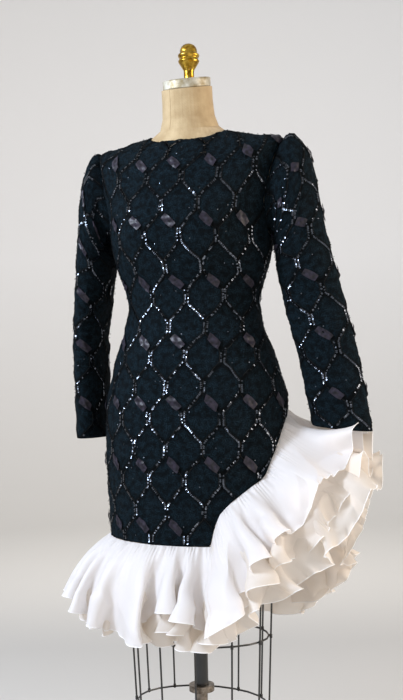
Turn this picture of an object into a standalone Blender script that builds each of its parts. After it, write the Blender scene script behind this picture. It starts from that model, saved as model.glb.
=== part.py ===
"""A lace dress with an organza ruffle, standing on a limbless dress form.

Metres, +Z up. The form faces -Y, and +X is its own left side. The origin is the centre of the base's
underside.
An angle of 0 degrees is the centre front, and +90 degrees is the form's left side seam.
"""

import functools
import math

import bmesh
import bpy
import numpy as np

for old in list(bpy.data.objects):
    bpy.data.objects.remove(old)

# Driving sizes

SEAM_GAP = 0.0003            # between pieces that are sewn together or rest on each other
ARMHOLE_GAP = 0.0004         # between an armhole and its sleeve
HEM_GAP = 0.0005             # between the hem and the ruffle's seam
CAP_GAP = 0.0005             # under the neck cap and under the finial
SMALLEST_HALF = 0.075        # half the smallest section that the dress's seams cross
SHARP_ANGLE = math.radians(50)
LACE_WALL = 0.002            # lace on its lining
RUFFLE_WALL = 0.001          # organza with its rolled edge
WAIST = 1.09
UNDERARM = 1.235
SHOULDER = 1.435
TORSO_BOTTOM = 0.80
CAP_TILT = math.radians(12)  # the neck cap leans forward
TUBE_OUTER = 0.0145
TUBE_BORE = 0.0130
POST_RADIUS = 0.0125
POST_TOP = 0.60
COLLAR_BOTTOM = 0.272
COLLAR_TOP = 0.285
COLLAR_RADIUS = 0.027
BASE_RADIUS = 0.20
HUB_TOP = 0.055
WIRE_RADIUS = 0.002
WIRE_SIDES = 6
TURNED_SIDES = 24            # round the cap, the tube, the collar and the post
FINIAL_SIDES = 16
BASE_SIDES = 32
TORSO_SIDES = 40
CAGE_WIRES = 12
CAGE_RINGS = (0.60, 0.394, 0.248)
FIRST_WIRE = 12              # degrees
CAGE_TOP = (0.172, 0.128)    # half-width and half-depth of the wire cage
CAGE_BOTTOM = (0.147, 0.108)
CAGE_BOTTOM_Z = 0.244

# The dress body. "up" is measured up the side seam, then along the shoulder to the neck.
# Each section is an oval whose rim can be higher at the side than at the front and back.

BODY_COLUMNS = ("up", "front_z", "side_z", "back_z", "half_width", "front", "back")
BODY = [
    (0.560, 0.560, 0.560, 0.560, 0.1940, 0.140, 0.150),
    (0.606, 0.606, 0.606, 0.606, 0.1950, 0.142, 0.152),
    (0.700, 0.700, 0.700, 0.700, 0.2000, 0.144, 0.156),
    (0.790, 0.790, 0.790, 0.790, 0.2025, 0.145, 0.160),
    (0.880, 0.880, 0.880, 0.880, 0.2000, 0.142, 0.160),
    (0.914, 0.914, 0.914, 0.914, 0.1955, 0.139, 0.156),
    (0.946, 0.946, 0.946, 0.946, 0.1860, 0.135, 0.149),
    (0.979, 0.979, 0.979, 0.979, 0.1770, 0.130, 0.140),
    (1.011, 1.011, 1.011, 1.011, 0.1650, 0.124, 0.130),
    (1.043, 1.043, 1.043, 1.043, 0.1530, 0.117, 0.119),
    (1.090, 1.090, 1.090, 1.090, 0.1455, 0.112, 0.110),
    (1.139, 1.139, 1.139, 1.139, 0.1530, 0.117, 0.112),
    (1.171, 1.171, 1.171, 1.171, 0.1660, 0.129, 0.115),
    (1.210, 1.210, 1.210, 1.210, 0.1750, 0.139, 0.118),
    (1.235, 1.235, 1.235, 1.235, 0.1780, 0.143, 0.120),
    (1.300, 1.287, 1.300, 1.292, 0.1860, 0.144, 0.122),
    (1.365, 1.333, 1.365, 1.350, 0.1990, 0.134, 0.120),
    (1.435, 1.376, 1.432, 1.403, 0.2090, 0.118, 0.110),
    (1.497, 1.409, 1.448, 1.437, 0.1480, 0.099, 0.097),
    (1.563, 1.437, 1.461, 1.468, 0.0860, 0.078, 0.076),
]
NECKLINE = 1.563
SKIRT_BANDS = 8              # rows of a panel between the hem and the waist
BODICE_ROWS = (WAIST, 1.125, 1.155, 1.185, 1.21)
YOKE_ROWS = (1.466, 1.497, 1.530)
TORSO_ROWS = (0.88, 0.93, 0.98, 1.03, WAIST, 1.14, 1.18, UNDERARM, 1.29, 1.35, 1.40, SHOULDER)
FRONT_COLUMNS = 20
REPLACED_COLUMN = 3          # the front's column whose place the two at the hem's corner take
CORNER_SHARES = (0.26, 0.29)
BACK_COLUMNS = 10
SIDE_RISE = 4                # how late a section's rim turns up towards the side
BUST_ANGLE = 26
BUST_SPREAD = 16
BUST_Z = 1.243
BUST_HEIGHT = 0.055
BUST_PUSH = 0.012

# The form's neck above the neckline, whose sections lean forward with the cap, a little forward of the pole

NECK_COLUMNS = ("z", "half_width", "half_depth", "centre_y")
NECK = [
    (1.474, 0.0630, 0.0620, -0.003),
    (1.497, 0.0560, 0.0555, -0.007),
    (1.528, 0.0540, 0.0540, -0.011),
    (1.557, 0.0540, 0.0540, -0.014),
]

# How far the torso lies inside the dress's inner face, up the side seam

CLEARANCE_COLUMNS = ("up", "clearance")
CLEARANCE = [
    (0.80, 0.0040),
    (0.95, 0.0040),
    (1.09, 0.0050),
    (1.235, 0.0030),
    (1.38, 0.0028),
    (1.435, 0.0028),
    (1.466, 0.0016),
    (1.497, 0.0006),
    (1.563, 0.0006),
]

# The hem and the ruffle that hangs from it, by angle. "flare" is how far the ruffle leans out from straight
# down, at its seam and at its edge, and "sweep" how far it falls towards the form's left.

HEM_COLUMNS = ("angle", "height", "depth", "flare_seam", "flare_edge", "sweep")
HEM = [
    (-180, 0.606, 0.205, 50, -8, 0),
    (-130, 0.606, 0.205, 54, -12, 0),
    (-68, 0.606, 0.210, 58, -14, 0),
    (0, 0.606, 0.205, 48, -4, 0),
    (23.4, 0.606, 0.205, 44, 8, 4),
    (26.1, 0.640, 0.210, 46, 16, 12),
    (30, 0.672, 0.215, 50, 22, 22),
    (49, 0.721, 0.220, 58, 26, 26),
    (60, 0.742, 0.220, 62, 34, 20),
    (67, 0.776, 0.220, 66, 44, 14),
    (75, 0.810, 0.215, 66, 62, 6),
    (88, 0.853, 0.205, 56, 86, 2),
    (105, 0.871, 0.196, 50, 90, 0),
    (120, 0.772, 0.226, 54, 44, -10),
    (135, 0.676, 0.248, 56, 22, -12),
    (150, 0.618, 0.244, 54, 4, -8),
    (165, 0.606, 0.222, 50, -4, -4),
    (180, 0.606, 0.205, 50, -8, 0),
]
RUFFLE_START = -68
LAP_MARGIN = 40              # degrees of hem that are known past each end of the ruffle's run
STRIP_COLUMNS = ("name", "first_angle", "last_angle", "waves")
STRIPS = [
    ("ruffle_front", -68, 24, 9),
    ("ruffle_cascade", 24, 105, 9),
    ("ruffle_back_left", 105, 190, 9),
    ("ruffle_back_right", 190, 292, 9),
]
LAYER_COLUMNS = ("prefix", "wave_share", "seam_inset", "edge_inset", "extra_depth", "bands")
LAYERS = [
    ("", 1.0, 0.0000, 0.000, 0.000, 4),
    ("under_", 0.8, 0.0024, 0.028, 0.012, 3),
]
WAVE_HEIGHT = 0.016          # how far a ruffle's edge swings out and in
WAVE_UNEVENNESS = 0.3
UNEVEN_WAVES = 3.7           # waves between one deep one and the next
UNEVEN_START = 0.8
WAVE_GROWTH = 1.15           # how late the waves open on the way to the edge
POINTS_A_WAVE = 5
SEAM_REACH = 0.004           # how far to each side the seam's own direction is taken
SMALLEST_BEND = 0.01         # radians that a ruffle's section turns at the least

# Armholes and sleeves. A sleeve's section is set by its outer and inner points and half its depth.

ARMHOLE_DIP = 19             # degrees that the armhole cuts into the front and the back
ARM_STEPS = 10               # points down each side of an armhole
SLEEVE_COLUMNS = ("outer_x", "outer_z", "inner_x", "inner_z", "half_depth", "centre_y")
LEFT_SLEEVE = [
    (0.2235, 1.440, 0.1835, 1.2350, 0.0500, 0.000),
    (0.2420, 1.429, 0.1865, 1.2290, 0.0550, 0.000),
    (0.2570, 1.409, 0.1870, 1.2240, 0.0570, 0.000),
    (0.2690, 1.373, 0.1872, 1.2180, 0.0570, 0.000),
    (0.2790, 1.320, 0.1868, 1.2080, 0.0550, 0.001),
    (0.2916, 1.2485, 0.1872, 1.1880, 0.0500, 0.002),
    (0.3060, 1.186, 0.1910, 1.1550, 0.0450, 0.004),
    (0.3210, 1.126, 0.1985, 1.1060, 0.0400, 0.007),
    (0.3390, 1.050, 0.2150, 1.0350, 0.0370, 0.011),
    (0.3550, 0.975, 0.2310, 0.9640, 0.0355, 0.015),
    (0.3670, 0.900, 0.2430, 0.8930, 0.0350, 0.019),
    (0.3770, 0.828, 0.2530, 0.8400, 0.0350, 0.022),
]
RIGHT_SLEEVE = [
    (0.2200, 1.438, 0.1835, 1.2350, 0.0500, 0.000),
    (0.2350, 1.425, 0.1870, 1.2290, 0.0570, 0.000),
    (0.2450, 1.399, 0.1885, 1.2230, 0.0620, 0.000),
    (0.2530, 1.356, 0.1890, 1.2150, 0.0650, 0.000),
    (0.2600, 1.300, 0.1910, 1.2000, 0.0660, 0.001),
    (0.2655, 1.235, 0.1970, 1.1750, 0.0660, 0.002),
    (0.2720, 1.155, 0.2060, 1.1250, 0.0660, 0.004),
    (0.2780, 1.100, 0.2140, 1.0850, 0.0645, 0.007),
    (0.2835, 1.050, 0.2215, 1.0430, 0.0635, 0.010),
    (0.2867, 0.950, 0.2267, 0.9480, 0.0625, 0.017),
    (0.2867, 0.880, 0.2267, 0.8790, 0.0625, 0.020),
    (0.2860, 0.811, 0.2260, 0.8110, 0.0625, 0.023),
]
GATHER_ROWS = 3              # sleeve sections that carry the gathers at its head
GATHER_HEIGHT = 0.0016
GATHER_REACH = 75            # degrees to each side of the shoulder point

# Turned pieces, from the bottom up

PROFILE_COLUMNS = ("radius", "height")
CAP_PROFILE = [(0.0500, 0.0), (0.0510, 0.003), (0.0510, 0.016), (0.0470, 0.020)]
FINIAL_PROFILE = [
    (0.0115, 0.0130),
    (0.0115, 0.0170),
    (0.0190, 0.0290),
    (0.0230, 0.0370),
    (0.0215, 0.0420),
    (0.0232, 0.0490),
    (0.0180, 0.0550),
    (0.0178, 0.0600),
    (0.0150, 0.0670),
    (0.0090, 0.0730),
    (0.0030, 0.0755),
]
BASE_PROFILE = [
    (BASE_RADIUS, 0.000),
    (BASE_RADIUS, 0.012),
    (0.1920, 0.018),
    (0.1000, 0.028),
    (0.0280, 0.036),
    (0.0200, 0.046),
    (0.0200, HUB_TOP),
]


def column(table, names, name):
    """One named column of a table, as an array."""
    return np.array([row[names.index(name)] for row in table], dtype=float)


def named_rows(table, names):
    return [dict(zip(names, row)) for row in table]


def curve(x, xs, ys):
    """A smooth curve through the points xs, ys that never swings past them."""
    steps = np.diff(xs)
    slopes = np.diff(ys) / steps
    tangents = np.zeros(len(xs))
    tangents[0], tangents[-1] = slopes[0], slopes[-1]
    for i in range(1, len(xs) - 1):
        before, after = slopes[i - 1], slopes[i]
        if before * after > 0:
            tangents[i] = 2 * before * after / (before + after)
    i = int(np.clip(np.searchsorted(xs, x) - 1, 0, len(xs) - 2))
    t = (x - xs[i]) / steps[i]
    rise = steps[i] * tangents[i]
    fall = steps[i] * tangents[i + 1]
    return (
        ys[i] * (1 + 2 * t) * (1 - t) ** 2
        + rise * t * (1 - t) ** 2
        + ys[i + 1] * t * t * (3 - 2 * t)
        + fall * t * t * (t - 1)
    )


def reader(table, names, key):
    """A function that reads any column of a table smoothly by its key column."""
    keys = column(table, names, key)
    values = {name: column(table, names, name) for name in names if name != key}

    @functools.lru_cache(maxsize=None)
    def read(name, x):
        return curve(x, keys, values[name])

    return read


body_at = reader(BODY, BODY_COLUMNS, "up")
hem_at = reader(HEM, HEM_COLUMNS, "angle")
clearance_at = reader(CLEARANCE, CLEARANCE_COLUMNS, "up")


def wrapped(angle):
    """The same angle between -180 and 180 degrees."""
    return (angle + 180) % 360 - 180


def unit(vector):
    return vector / np.linalg.norm(vector)


def oval_point(angle, half_width, front, back, front_z, side_z, back_z):
    """A point on a section whose rim rises from its front and back to its sides."""
    turn = math.radians(angle)
    ahead = math.cos(turn) > 0
    end_z = front_z if ahead else back_z
    z = end_z + (side_z - end_z) * abs(math.sin(turn)) ** SIDE_RISE
    y = -(front if ahead else back) * math.cos(turn)
    return np.array([half_width * math.sin(turn), y, z])


def body_point(angle, up):
    """A point on the dress's outer face."""
    angle = wrapped(angle)
    point = oval_point(
        angle,
        body_at("half_width", up),
        body_at("front", up),
        body_at("back", up),
        body_at("front_z", up),
        body_at("side_z", up),
        body_at("back_z", up),
    )
    across = (abs(angle) - BUST_ANGLE) / BUST_SPREAD
    high = (point[2] - BUST_Z) / BUST_HEIGHT
    push = BUST_PUSH * math.exp(-across ** 2 - high ** 2)
    turn = math.radians(angle)
    return point + push * np.array([math.sin(turn), -math.cos(turn), 0.0])


def body_normal(angle, up):
    """The outward direction of the dress's outer face."""
    turn_step = 0.5
    up_step = 0.001
    along = body_point(angle + turn_step, up) - body_point(angle - turn_step, up)
    rise = body_point(angle, up + up_step) - body_point(angle, up - up_step)
    return unit(np.cross(along, rise))


def body_inset(angle, up, depth):
    """A point that lies a depth inside the dress's outer face."""
    return body_point(angle, up) - depth * body_normal(angle, up)


def hem_height(angle):
    return hem_at("height", wrapped(angle))


# Solids from grids of points

def material(name, colour, roughness, metallic=0.0):
    made = bpy.data.materials.new(name)
    made.use_nodes = True
    shader = made.node_tree.nodes["Principled BSDF"]
    shader.inputs["Base Color"].default_value = (*colour, 1)
    shader.inputs["Roughness"].default_value = roughness
    shader.inputs["Metallic"].default_value = metallic
    return made


def add_object(name, points, faces, finish, parent):
    mesh = bpy.data.meshes.new(name)
    mesh.from_pydata([tuple(p) for p in points], [], faces)
    shape = bmesh.new()
    shape.from_mesh(mesh)
    bmesh.ops.recalc_face_normals(shape, faces=shape.faces)
    shape.to_mesh(mesh)
    shape.free()
    mesh.shade_smooth()
    mesh.set_sharp_from_angle(angle=SHARP_ANGLE)
    made = bpy.data.objects.new(name, mesh)
    mesh.materials.append(finish)
    bpy.context.collection.objects.link(made)
    made.parent = parent
    return made


def grid_faces(rows, columns, first, closed):
    """Triangles over a grid of points that starts at index first."""
    faces = []
    for r in range(rows - 1):
        for c in range(columns if closed else columns - 1):
            after = (c + 1) % columns
            a = first + r * columns + c
            b = first + r * columns + after
            d = first + (r + 1) * columns + c
            e = first + (r + 1) * columns + after
            faces += [(a, b, e), (a, e, d)]
    return faces


def add_wall(name, outer, inner, finish, parent, closed=False):
    """One closed body between an outer and an inner grid of points."""
    rows, columns = len(outer), len(outer[0])
    count = rows * columns
    points = [p for row in outer for p in row] + [p for row in inner for p in row]
    faces = grid_faces(rows, columns, 0, closed)
    faces += [(a, c, b) for a, b, c in grid_faces(rows, columns, count, closed)]
    rims = [list(range(columns)), [(rows - 1) * columns + c for c in range(columns)]]
    if closed:
        rims = [rim + rim[:1] for rim in rims]
    else:
        rims += [[r * columns for r in range(rows)], [r * columns + columns - 1 for r in range(rows)]]
    for side, rim in zip((1, -1, -1, 1), rims):
        for a, b in zip(rim, rim[1:]):
            pair = [(a, a + count, b + count), (a, b + count, b)]
            faces += [f[::side] for f in pair]
    return add_object(name, points, faces, finish, parent)


def add_loft(name, rings, finish, parent):
    """One closed body through rings of points, closed by a fan at each end."""
    columns = len(rings[0])
    points = [p for ring in rings for p in ring]
    faces = grid_faces(len(rings), columns, 0, closed=True)
    for first, turn in ((0, -1), ((len(rings) - 1) * columns, 1)):
        centre = len(points)
        points.append(np.mean(points[first:first + columns], axis=0))
        faces += [(first + c, first + (c + 1) % columns, centre)[::turn] for c in range(columns)]
    return add_object(name, points, faces, finish, parent)


def circle(radius, z, sides, centre=(0.0, 0.0), tilt=0.0, depth=None):
    """A ring of points, deeper or shallower along Y where a depth is given, and tilted down to the front."""
    depth = radius if depth is None else depth
    points = []
    for i in range(sides):
        turn = 2 * math.pi * i / sides
        y = -depth * math.cos(turn)
        points.append(np.array([centre[0] + radius * math.sin(turn), centre[1] + y, z + y * math.tan(tilt)]))
    return points


def add_ring(name, section, sides, finish, parent):
    """A turned ring, from a closed loop of radius, depth and height."""
    points = [p for wide, deep, z in section for p in circle(wide, z, sides, depth=deep)]
    faces = []
    loops = len(section)
    for i in range(loops):
        for c in range(sides):
            after = (c + 1) % sides
            a, b = i * sides + c, i * sides + after
            d, e = (i + 1) % loops * sides + c, (i + 1) % loops * sides + after
            faces += [(a, b, e), (a, e, d)]
    return add_object(name, points, faces, finish, parent)


# The dress body

def armhole_edge(turn, scale=1.0):
    """The armhole's angle from the side seam and its place up the side, by the turn from the shoulder."""
    middle = (SHOULDER + UNDERARM) / 2
    half = (SHOULDER - UNDERARM) / 2
    return ARMHOLE_DIP * scale * math.sin(turn), middle + half * scale * math.cos(turn)


def panel_rows():
    """Each row of a panel: its share of the way from hem to waist or its place up the side, and its dip."""
    skirt = [("skirt", t, 0.0) for t in np.linspace(0, 1, SKIRT_BANDS + 1)[:-1]]
    bodice = [("body", up, 0.0) for up in BODICE_ROWS]
    arm = []
    for i in range(ARM_STEPS, -1, -1):
        dip, up = armhole_edge(math.pi * i / ARM_STEPS)
        arm.append(("body", up, dip))
    yoke = [("body", up, 0.0) for up in (*YOKE_ROWS, NECKLINE)]
    return skirt + bodice + arm + yoke


def add_panel(name, shares, angle_from, finish, parent):
    """A body panel. angle_from turns a share of the panel's width, with a dip, into an angle."""
    outer, inner = [], []
    for kind, place, dip in panel_rows():
        outer_row, inner_row = [], []
        for share in shares:
            angle = angle_from(share, dip)
            up = place
            if kind == "skirt":
                hem = hem_height(angle)
                up = hem + (WAIST - hem) * place
            outer_row.append(body_point(angle, up))
            inner_row.append(body_inset(angle, up, LACE_WALL))
        outer.append(outer_row)
        inner.append(inner_row)
    return add_wall(name, outer, inner, finish, parent)


SEAM_TRIM = math.degrees(SEAM_GAP / 2 / SMALLEST_HALF)
HALF_FRONT = FRONT_COLUMNS // 2
EVEN_SHARES = [j / HALF_FRONT for j in range(-HALF_FRONT, HALF_FRONT + 1) if j != REPLACED_COLUMN]
FRONT_SHARES = sorted([*EVEN_SHARES, *CORNER_SHARES])
BACK_SHARES = [j / BACK_COLUMNS for j in range(BACK_COLUMNS + 1)]


def front_angle(share, dip):
    return share * (90 - dip - SEAM_TRIM)


def back_angle(side):
    """The angle across one back panel, from its side seam to the centre back."""
    def angle(share, dip):
        first = 90 + dip + SEAM_TRIM
        last = 180 - SEAM_TRIM
        return side * (first + (last - first) * share)
    return angle


# The sleeves

def armhole_ring(side, scale):
    """The armhole's loop on the dress's outer face, from the shoulder point round by the front."""
    ring = []
    for i in range(2 * ARM_STEPS):
        dip, up = armhole_edge(math.pi * i / ARM_STEPS, scale)
        ring.append(body_point(side * (90 - dip), up))
    return ring


def sleeve_ring(side, row, inset, gather):
    """A sleeve's section, drawn in by an inset, with folds of a height where it is gathered."""
    outer_end = np.array([side * row["outer_x"], row["centre_y"], row["outer_z"]])
    inner_end = np.array([side * row["inner_x"], row["centre_y"], row["inner_z"]])
    centre = (outer_end + inner_end) / 2
    across = outer_end - centre
    half = np.linalg.norm(across)
    ring = []
    for i in range(2 * ARM_STEPS):
        turn = math.pi * i / ARM_STEPS
        from_top = abs(wrapped(math.degrees(turn)))
        fold = gather * (1 if i % 2 else -1) * max(0.0, 1 - from_top / GATHER_REACH)
        grow = (half - inset + fold) / half
        deep = row["half_depth"] - inset + fold
        ring.append(centre + across * grow * math.cos(turn) + np.array([0.0, -deep * math.sin(turn), 0.0]))
    return ring


def add_sleeve(name, side, table, finish, parent):
    reach = (SHOULDER - UNDERARM) / 2
    outer = [armhole_ring(side, 1 - ARMHOLE_GAP / reach)]
    inner = [armhole_ring(side, 1 - (ARMHOLE_GAP + LACE_WALL) / reach)]
    for i, row in enumerate(named_rows(table, SLEEVE_COLUMNS)):
        gather = GATHER_HEIGHT if 0 < i <= GATHER_ROWS else 0.0
        outer.append(sleeve_ring(side, row, 0.0, gather))
        inner.append(sleeve_ring(side, row, LACE_WALL, gather))
    return add_wall(name, outer, inner, finish, parent, closed=True)


# The ruffle, which follows the hem by its own length. Its seam is straight between the panels' hem points.

def hem_angles():
    """Every angle at which a panel has a hem point, once round from the ruffle's start and a little past."""
    front = [front_angle(share, 0) for share in FRONT_SHARES]
    backs = [back_angle(side)(share, 0) for side in (1, -1) for share in BACK_SHARES]
    once = [angle % 360 for angle in front + backs]
    laps = [angle + lap for lap in (-360, 0, 360) for angle in once]
    return sorted(angle for angle in laps if abs(angle - RUFFLE_START - 180) < 180 + LAP_MARGIN)


seam_angles = hem_angles()
seam_points = np.array([body_point(a, hem_height(a)) for a in seam_angles])
seam_steps = np.linalg.norm(np.diff(seam_points, axis=0), axis=1)
seam_lengths = np.concatenate([[0.0], np.cumsum(seam_steps)])


def seam_point(length):
    return np.array([np.interp(length, seam_lengths, seam_points[:, axis]) for axis in range(3)])


def length_at(angle):
    return float(np.interp(angle, seam_angles, seam_lengths))


strips = named_rows(STRIPS, STRIP_COLUMNS)
strip_ends = [length_at(strip["first_angle"]) for strip in strips] + [length_at(strips[-1]["last_angle"])]
strip_waves = np.concatenate([[0], np.cumsum([strip["waves"] for strip in strips])])


def ruffle_point(length, share, layer):
    """A point on one layer, by its length along the hem and its share of the way to the edge."""
    angle = float(np.interp(length, seam_lengths, seam_angles))
    here = wrapped(angle)
    up = hem_height(angle)
    out = body_normal(angle, up)
    flat_out = unit(np.array([out[0], out[1], 0.0]))
    along = unit(np.cross(np.array([0.0, 0.0, 1.0]), flat_out))
    sweep = math.radians(hem_at("sweep", here))
    down = math.sin(sweep) * along - math.cos(sweep) * np.array([0.0, 0.0, 1.0])
    seam_way = unit(seam_point(length + SEAM_REACH) - seam_point(length - SEAM_REACH))
    off_hem = unit(np.cross(seam_way, out))
    start = seam_point(length) + off_hem * HEM_GAP
    depth = hem_at("depth", here) + layer["extra_depth"]
    first = math.radians(hem_at("flare_seam", here))
    last = math.radians(hem_at("flare_edge", here))
    bend = last - first
    if abs(bend) < SMALLEST_BEND:
        bend = SMALLEST_BEND
    lean = first + bend * share
    straight = depth * (math.sin(lean) - math.sin(first)) / bend
    outward = depth * (math.cos(first) - math.cos(lean)) / bend
    facing = flat_out * math.cos(lean) - down * math.sin(lean)
    inset = layer["seam_inset"] + (layer["edge_inset"] - layer["seam_inset"]) * share
    phase = 2 * math.pi * float(np.interp(length, strip_ends, strip_waves))
    uneven = 1 + WAVE_UNEVENNESS * math.sin(phase / UNEVEN_WAVES + UNEVEN_START)
    height = WAVE_HEIGHT * layer["wave_share"] * uneven
    swing = height * max(share, 0.0) ** WAVE_GROWTH * math.sin(phase)
    return start + down * straight + flat_out * outward + facing * (swing - inset)


def ruffle_normal(length, share, layer):
    """The outward direction of one layer of the ruffle."""
    length_step = 0.0005
    share_step = 0.01
    before = ruffle_point(length - length_step, share, layer)
    after = ruffle_point(length + length_step, share, layer)
    above = ruffle_point(length, share - share_step, layer)
    below = ruffle_point(length, share + share_step, layer)
    along = after - before
    rise = above - below
    return unit(np.cross(along, rise))


def add_ruffle(name, first, last, waves, layer, finish, parent):
    lengths = np.linspace(first + SEAM_GAP / 2, last - SEAM_GAP / 2, waves * POINTS_A_WAVE + 1)
    for hem_length in seam_lengths:
        nearest = int(np.argmin(abs(lengths - hem_length)))
        if 0 < nearest < len(lengths) - 1:
            lengths[nearest] = hem_length
    outer, inner = [], []
    for share in np.linspace(0, 1, layer["bands"] + 1):
        outer_row = [ruffle_point(length, share, layer) for length in lengths]
        backs = [ruffle_normal(length, share, layer) for length in lengths]
        outer.append(outer_row)
        inner.append([p - n * RUFFLE_WALL for p, n in zip(outer_row, backs)])
    return add_wall(name, outer, inner, finish, parent)


# The dress form and its stand

def torso_rings():
    """The torso's sections inside the dress, with a flat underside, and its neck's."""
    angles = [360 * j / TORSO_SIDES for j in range(TORSO_SIDES)]
    rings = []
    for up in (TORSO_BOTTOM, *TORSO_ROWS, *YOKE_ROWS, NECKLINE):
        depth = LACE_WALL + clearance_at("clearance", up)
        rings.append([body_inset(angle, up, depth) for angle in angles])
    rings[0] = [np.array([p[0], p[1], TORSO_BOTTOM]) for p in rings[0]]
    for row in named_rows(NECK, NECK_COLUMNS):
        centre = (0.0, row["centre_y"])
        rings.append(circle(row["half_width"], row["z"], TORSO_SIDES, centre, CAP_TILT, row["half_depth"]))
    return rings


def tilted_stack(profile, sides, centre_y, base_z):
    """Rings of a turned shape that lean forward with the neck cap."""
    return [circle(r, base_z + z, sides, (0.0, centre_y), CAP_TILT) for r, z in profile]


def cage_point(angle, z, inset=0.0):
    """A point on the wire cage, whose sides taper down."""
    share = (TORSO_BOTTOM - z) / (TORSO_BOTTOM - CAGE_BOTTOM_Z)
    wide = CAGE_TOP[0] + (CAGE_BOTTOM[0] - CAGE_TOP[0]) * share - inset
    deep = CAGE_TOP[1] + (CAGE_BOTTOM[1] - CAGE_TOP[1]) * share - inset
    turn = math.radians(angle)
    return np.array([wide * math.sin(turn), -deep * math.cos(turn), z])


def add_wire(name, angle, finish, parent):
    rings = []
    for z in (CAGE_BOTTOM_Z, TORSO_BOTTOM - SEAM_GAP):
        centre = cage_point(angle, z)
        rings.append(circle(WIRE_RADIUS, z, WIRE_SIDES, centre[:2]))
    return add_loft(name, rings, finish, parent)


def add_cage_ring(name, z, finish, parent):
    inset = 2 * WIRE_RADIUS + SEAM_GAP
    middle = cage_point(90, z, inset)[0], -cage_point(0, z, inset)[1]
    section = []
    for i in range(WIRE_SIDES):
        turn = 2 * math.pi * i / WIRE_SIDES
        grow = WIRE_RADIUS * math.cos(turn)
        section.append((middle[0] + grow, middle[1] + grow, z + WIRE_RADIUS * math.sin(turn)))
    return add_ring(name, section, 2 * CAGE_WIRES, finish, parent)


lace = material("black_lace", (0.007, 0.013, 0.018), 0.75)
organza = material("white_organza", (0.88, 0.87, 0.85), 0.55)
linen = material("linen", (0.56, 0.47, 0.34), 0.85)
grey_metal = material("worn_grey_metal", (0.45, 0.44, 0.42), 0.5, 0.8)
brass = material("brass", (0.65, 0.42, 0.12), 0.3, 1.0)
black_enamel = material("black_enamel", (0.01, 0.01, 0.01), 0.4)
steel = material("steel", (0.35, 0.32, 0.29), 0.4, 1.0)

# What slides up and down the post hangs from one empty on the pole's axis

slide = bpy.data.objects.new("height_slide", None)
bpy.context.collection.objects.link(slide)

add_panel("front", FRONT_SHARES, front_angle, lace, slide)
add_panel("back_left", BACK_SHARES, back_angle(1), lace, slide)
add_panel("back_right", BACK_SHARES, back_angle(-1), lace, slide)
add_sleeve("sleeve_left", 1, LEFT_SLEEVE, lace, slide)
add_sleeve("sleeve_right", -1, RIGHT_SLEEVE, lace, slide)

for layer in named_rows(LAYERS, LAYER_COLUMNS):
    for i, strip in enumerate(strips):
        name = layer["prefix"] + strip["name"]
        add_ruffle(name, strip_ends[i], strip_ends[i + 1], strip["waves"], layer, organza, slide)

add_loft("form_torso", torso_rings(), linen, slide)

neck_top = named_rows(NECK, NECK_COLUMNS)[-1]
cap_base = neck_top["z"] + CAP_GAP
cap_rings = tilted_stack(CAP_PROFILE, TURNED_SIDES, neck_top["centre_y"], cap_base)
add_loft("neck_cap", cap_rings, grey_metal, slide)

cap_height = CAP_PROFILE[-1][PROFILE_COLUMNS.index("height")]
stem_radius = FINIAL_PROFILE[0][PROFILE_COLUMNS.index("radius")]
finial_base = cap_base + cap_height - neck_top["centre_y"] * math.tan(CAP_TILT) + CAP_GAP
finial_rings = [circle(stem_radius, finial_base, FINIAL_SIDES, tilt=CAP_TILT)]
finial_rings += [circle(r, finial_base + z, FINIAL_SIDES) for r, z in FINIAL_PROFILE]
add_loft("finial", finial_rings, brass, slide)

for i in range(CAGE_WIRES):
    add_wire(f"cage_wire_{i + 1:02d}", FIRST_WIRE + 360 * i / CAGE_WIRES, black_enamel, slide)
for i, z in enumerate(CAGE_RINGS):
    add_cage_ring(f"cage_ring_{i + 1}", z, black_enamel, slide)

tube_low = COLLAR_TOP + SEAM_GAP
tube_high = TORSO_BOTTOM - SEAM_GAP
tube_section = [
    (TUBE_OUTER, TUBE_OUTER, tube_low), (TUBE_OUTER, TUBE_OUTER, tube_high),
    (TUBE_BORE, TUBE_BORE, tube_high), (TUBE_BORE, TUBE_BORE, tube_low),
]
add_ring("support_tube", tube_section, TURNED_SIDES, black_enamel, slide)
collar_section = [
    (COLLAR_RADIUS, COLLAR_RADIUS, COLLAR_BOTTOM), (COLLAR_RADIUS, COLLAR_RADIUS, COLLAR_TOP),
    (TUBE_BORE, TUBE_BORE, COLLAR_TOP), (TUBE_BORE, TUBE_BORE, COLLAR_BOTTOM),
]
add_ring("collar", collar_section, TURNED_SIDES, steel, slide)

# What stands on the floor

stand = bpy.data.objects.new("stand", None)
bpy.context.collection.objects.link(stand)
post_rings = [circle(POST_RADIUS, z, TURNED_SIDES) for z in (HUB_TOP + SEAM_GAP, POST_TOP)]
add_loft("post", post_rings, steel, stand)
add_loft("base", [circle(r, z, BASE_SIDES) for r, z in BASE_PROFILE], black_enamel, stand)
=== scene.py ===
"""The look of a lace dress with an organza ruffle, on a limbless dress form.

Metres, +Z up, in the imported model's frame. The form faces -Y, and +X is its own left side. An angle of
0 degrees is the centre front, and +90 degrees is the form's left side seam.
"""

import math

import bpy
import numpy as np
from mathutils import Matrix, Vector, noise


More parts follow.
